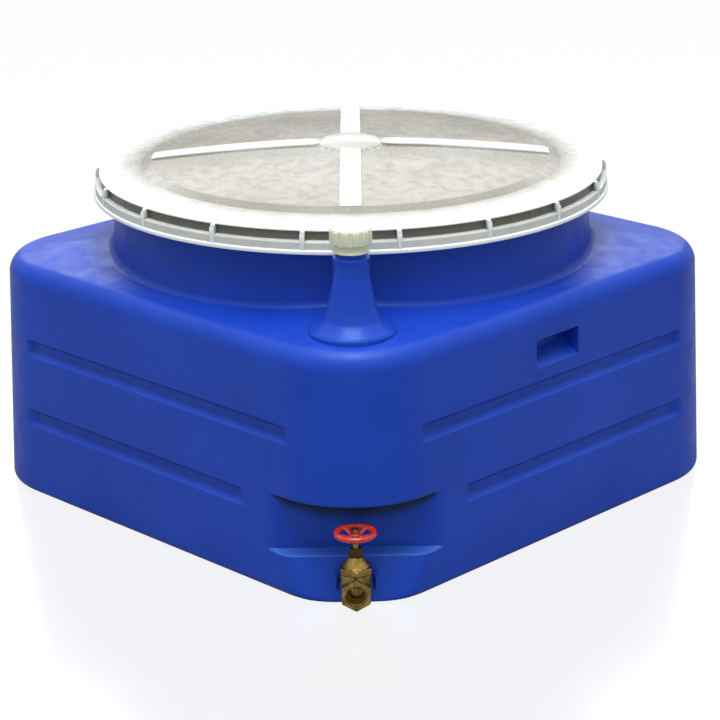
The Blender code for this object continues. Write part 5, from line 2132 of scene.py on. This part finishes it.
@dataclass(frozen=True)
class Lamp:
    """One soft lamp: its place, what it points at, its size in metres and its power in watts."""

    name: str
    place: Place
    aim: Place
    width: float
    power: float
    depth: float = 1.5

    def add(self) -> None:
        """Add the lamp."""
        data = bpy.data.lights.new(self.name, "AREA")
        data.shape = "RECTANGLE"
        data.size = self.width
        data.size_y = self.depth
        data.energy = self.power
        lamp = bpy.data.objects.new(self.name, data)
        lamp.location = self.place
        view = Vector(self.aim) - Vector(self.place)
        lamp.rotation_euler = view.to_track_quat("-Z", "Y").to_euler()
        bpy.context.scene.collection.objects.link(lamp)


@dataclass
class Studio:
    """The camera, the floor, the white surroundings and the soft lamps."""

    camera_place: Place = (2.5088, -2.4908, 1.3801)
    camera_aim: Place = (0.00677, 0.00677, 0.1757)
    lens: float = 118.85
    sensor: float = 36.0
    roll: float = math.radians(-0.90)
    floor_half: float = 14.0
    horizon: float = 0.50
    zenith: float = 1.05
    lamps: tuple[Lamp, ...] = (
        Lamp("key_lamp", (1.00, -1.10, 3.9), (0.0, 0.0, 0.25), 2.2, 95.0),
        Lamp("back_lamp", (-3.1, 3.1, 2.6), (0.0, 0.0, 0.45), 5.0, 50.0),
        Lamp("top_lamp", (0.0, 0.0, 4.2), (0.0, 0.0, 0.3), 1.8, 38.0),
    )

    def add_camera(self) -> None:
        """Add the camera at the photo's viewpoint."""
        data = bpy.data.cameras.new("photo_camera")
        data.lens = self.lens
        data.sensor_width = self.sensor
        camera = bpy.data.objects.new("photo_camera", data)
        camera.location = self.camera_place
        view = Vector(self.camera_aim) - Vector(self.camera_place)
        level = view.to_track_quat("-Z", "Y").to_matrix()
        camera.rotation_euler = (level @ Matrix.Rotation(self.roll, 3, "Z")).to_euler()
        bpy.context.scene.collection.objects.link(camera)
        bpy.context.scene.camera = camera

    def add_floor(self) -> None:
        """Add the floor."""
        bm = bmesh.new()
        bmesh.ops.create_grid(bm, x_segments=2, y_segments=2, size=self.floor_half)
        floor = from_bmesh("studio_floor", bm)
        floor.data.materials.append(StudioFloor().make())

    def add_world(self) -> None:
        """Make the surroundings white to the camera and softly bright to the object."""
        world = bpy.data.worlds.new("studio_world")
        bpy.context.scene.world = world
        world.use_nodes = True
        tree = world.node_tree
        background = tree.nodes["Background"]
        path = tree.nodes.new("ShaderNodeLightPath")
        seen = reckon(tree, "MAXIMUM", path.outputs["Is Camera Ray"], path.outputs["Is Transmission Ray"])
        generated = tree.nodes.new("ShaderNodeTexCoord").outputs["Generated"]
        direction = add_node(tree, "ShaderNodeSeparateXYZ", Vector=generated)
        sky = add_range(tree, direction.outputs["Z"], (0.15, 0.85), (self.horizon, self.zenith))
        sky.interpolation_type = "SMOOTHSTEP"
        level = tree.nodes.new("ShaderNodeMix")
        for socket, source in zip((level.inputs[0], level.inputs[2], level.inputs[3]),
                                  (seen, sky.outputs[0], 1.0)):
            plug(tree, socket, source)
        plug(tree, background.inputs["Strength"], level.outputs[0])
        plug(tree, background.inputs["Color"], WHITE)

    def set_up(self) -> None:
        """Add everything that stands round the object."""
        bpy.context.scene.view_settings.view_transform = "Standard"
        self.add_camera()
        self.add_floor()
        self.add_world()
        for lamp in self.lamps:
            lamp.add()


def main() -> None:
    """Build every sub-assembly of the tank round the frame."""
    logging.basicConfig(level=logging.INFO, format="%(message)s")
    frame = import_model()
    shop = Workshop(frame, Finishes(), RadialRepeat(), ThreadRidge())
    Tank(shop).make()
    lid = Lid(shop)
    lid.make()
    lid.make_seal()
    cap = SpoutCap(shop)
    cap.make()
    cap.make_liner()
    DrainFitting(shop).make()
    GateValve(shop).make()
    Handwheel(shop).make()
    Studio().set_up()


if __name__ == "__main__":
    main()
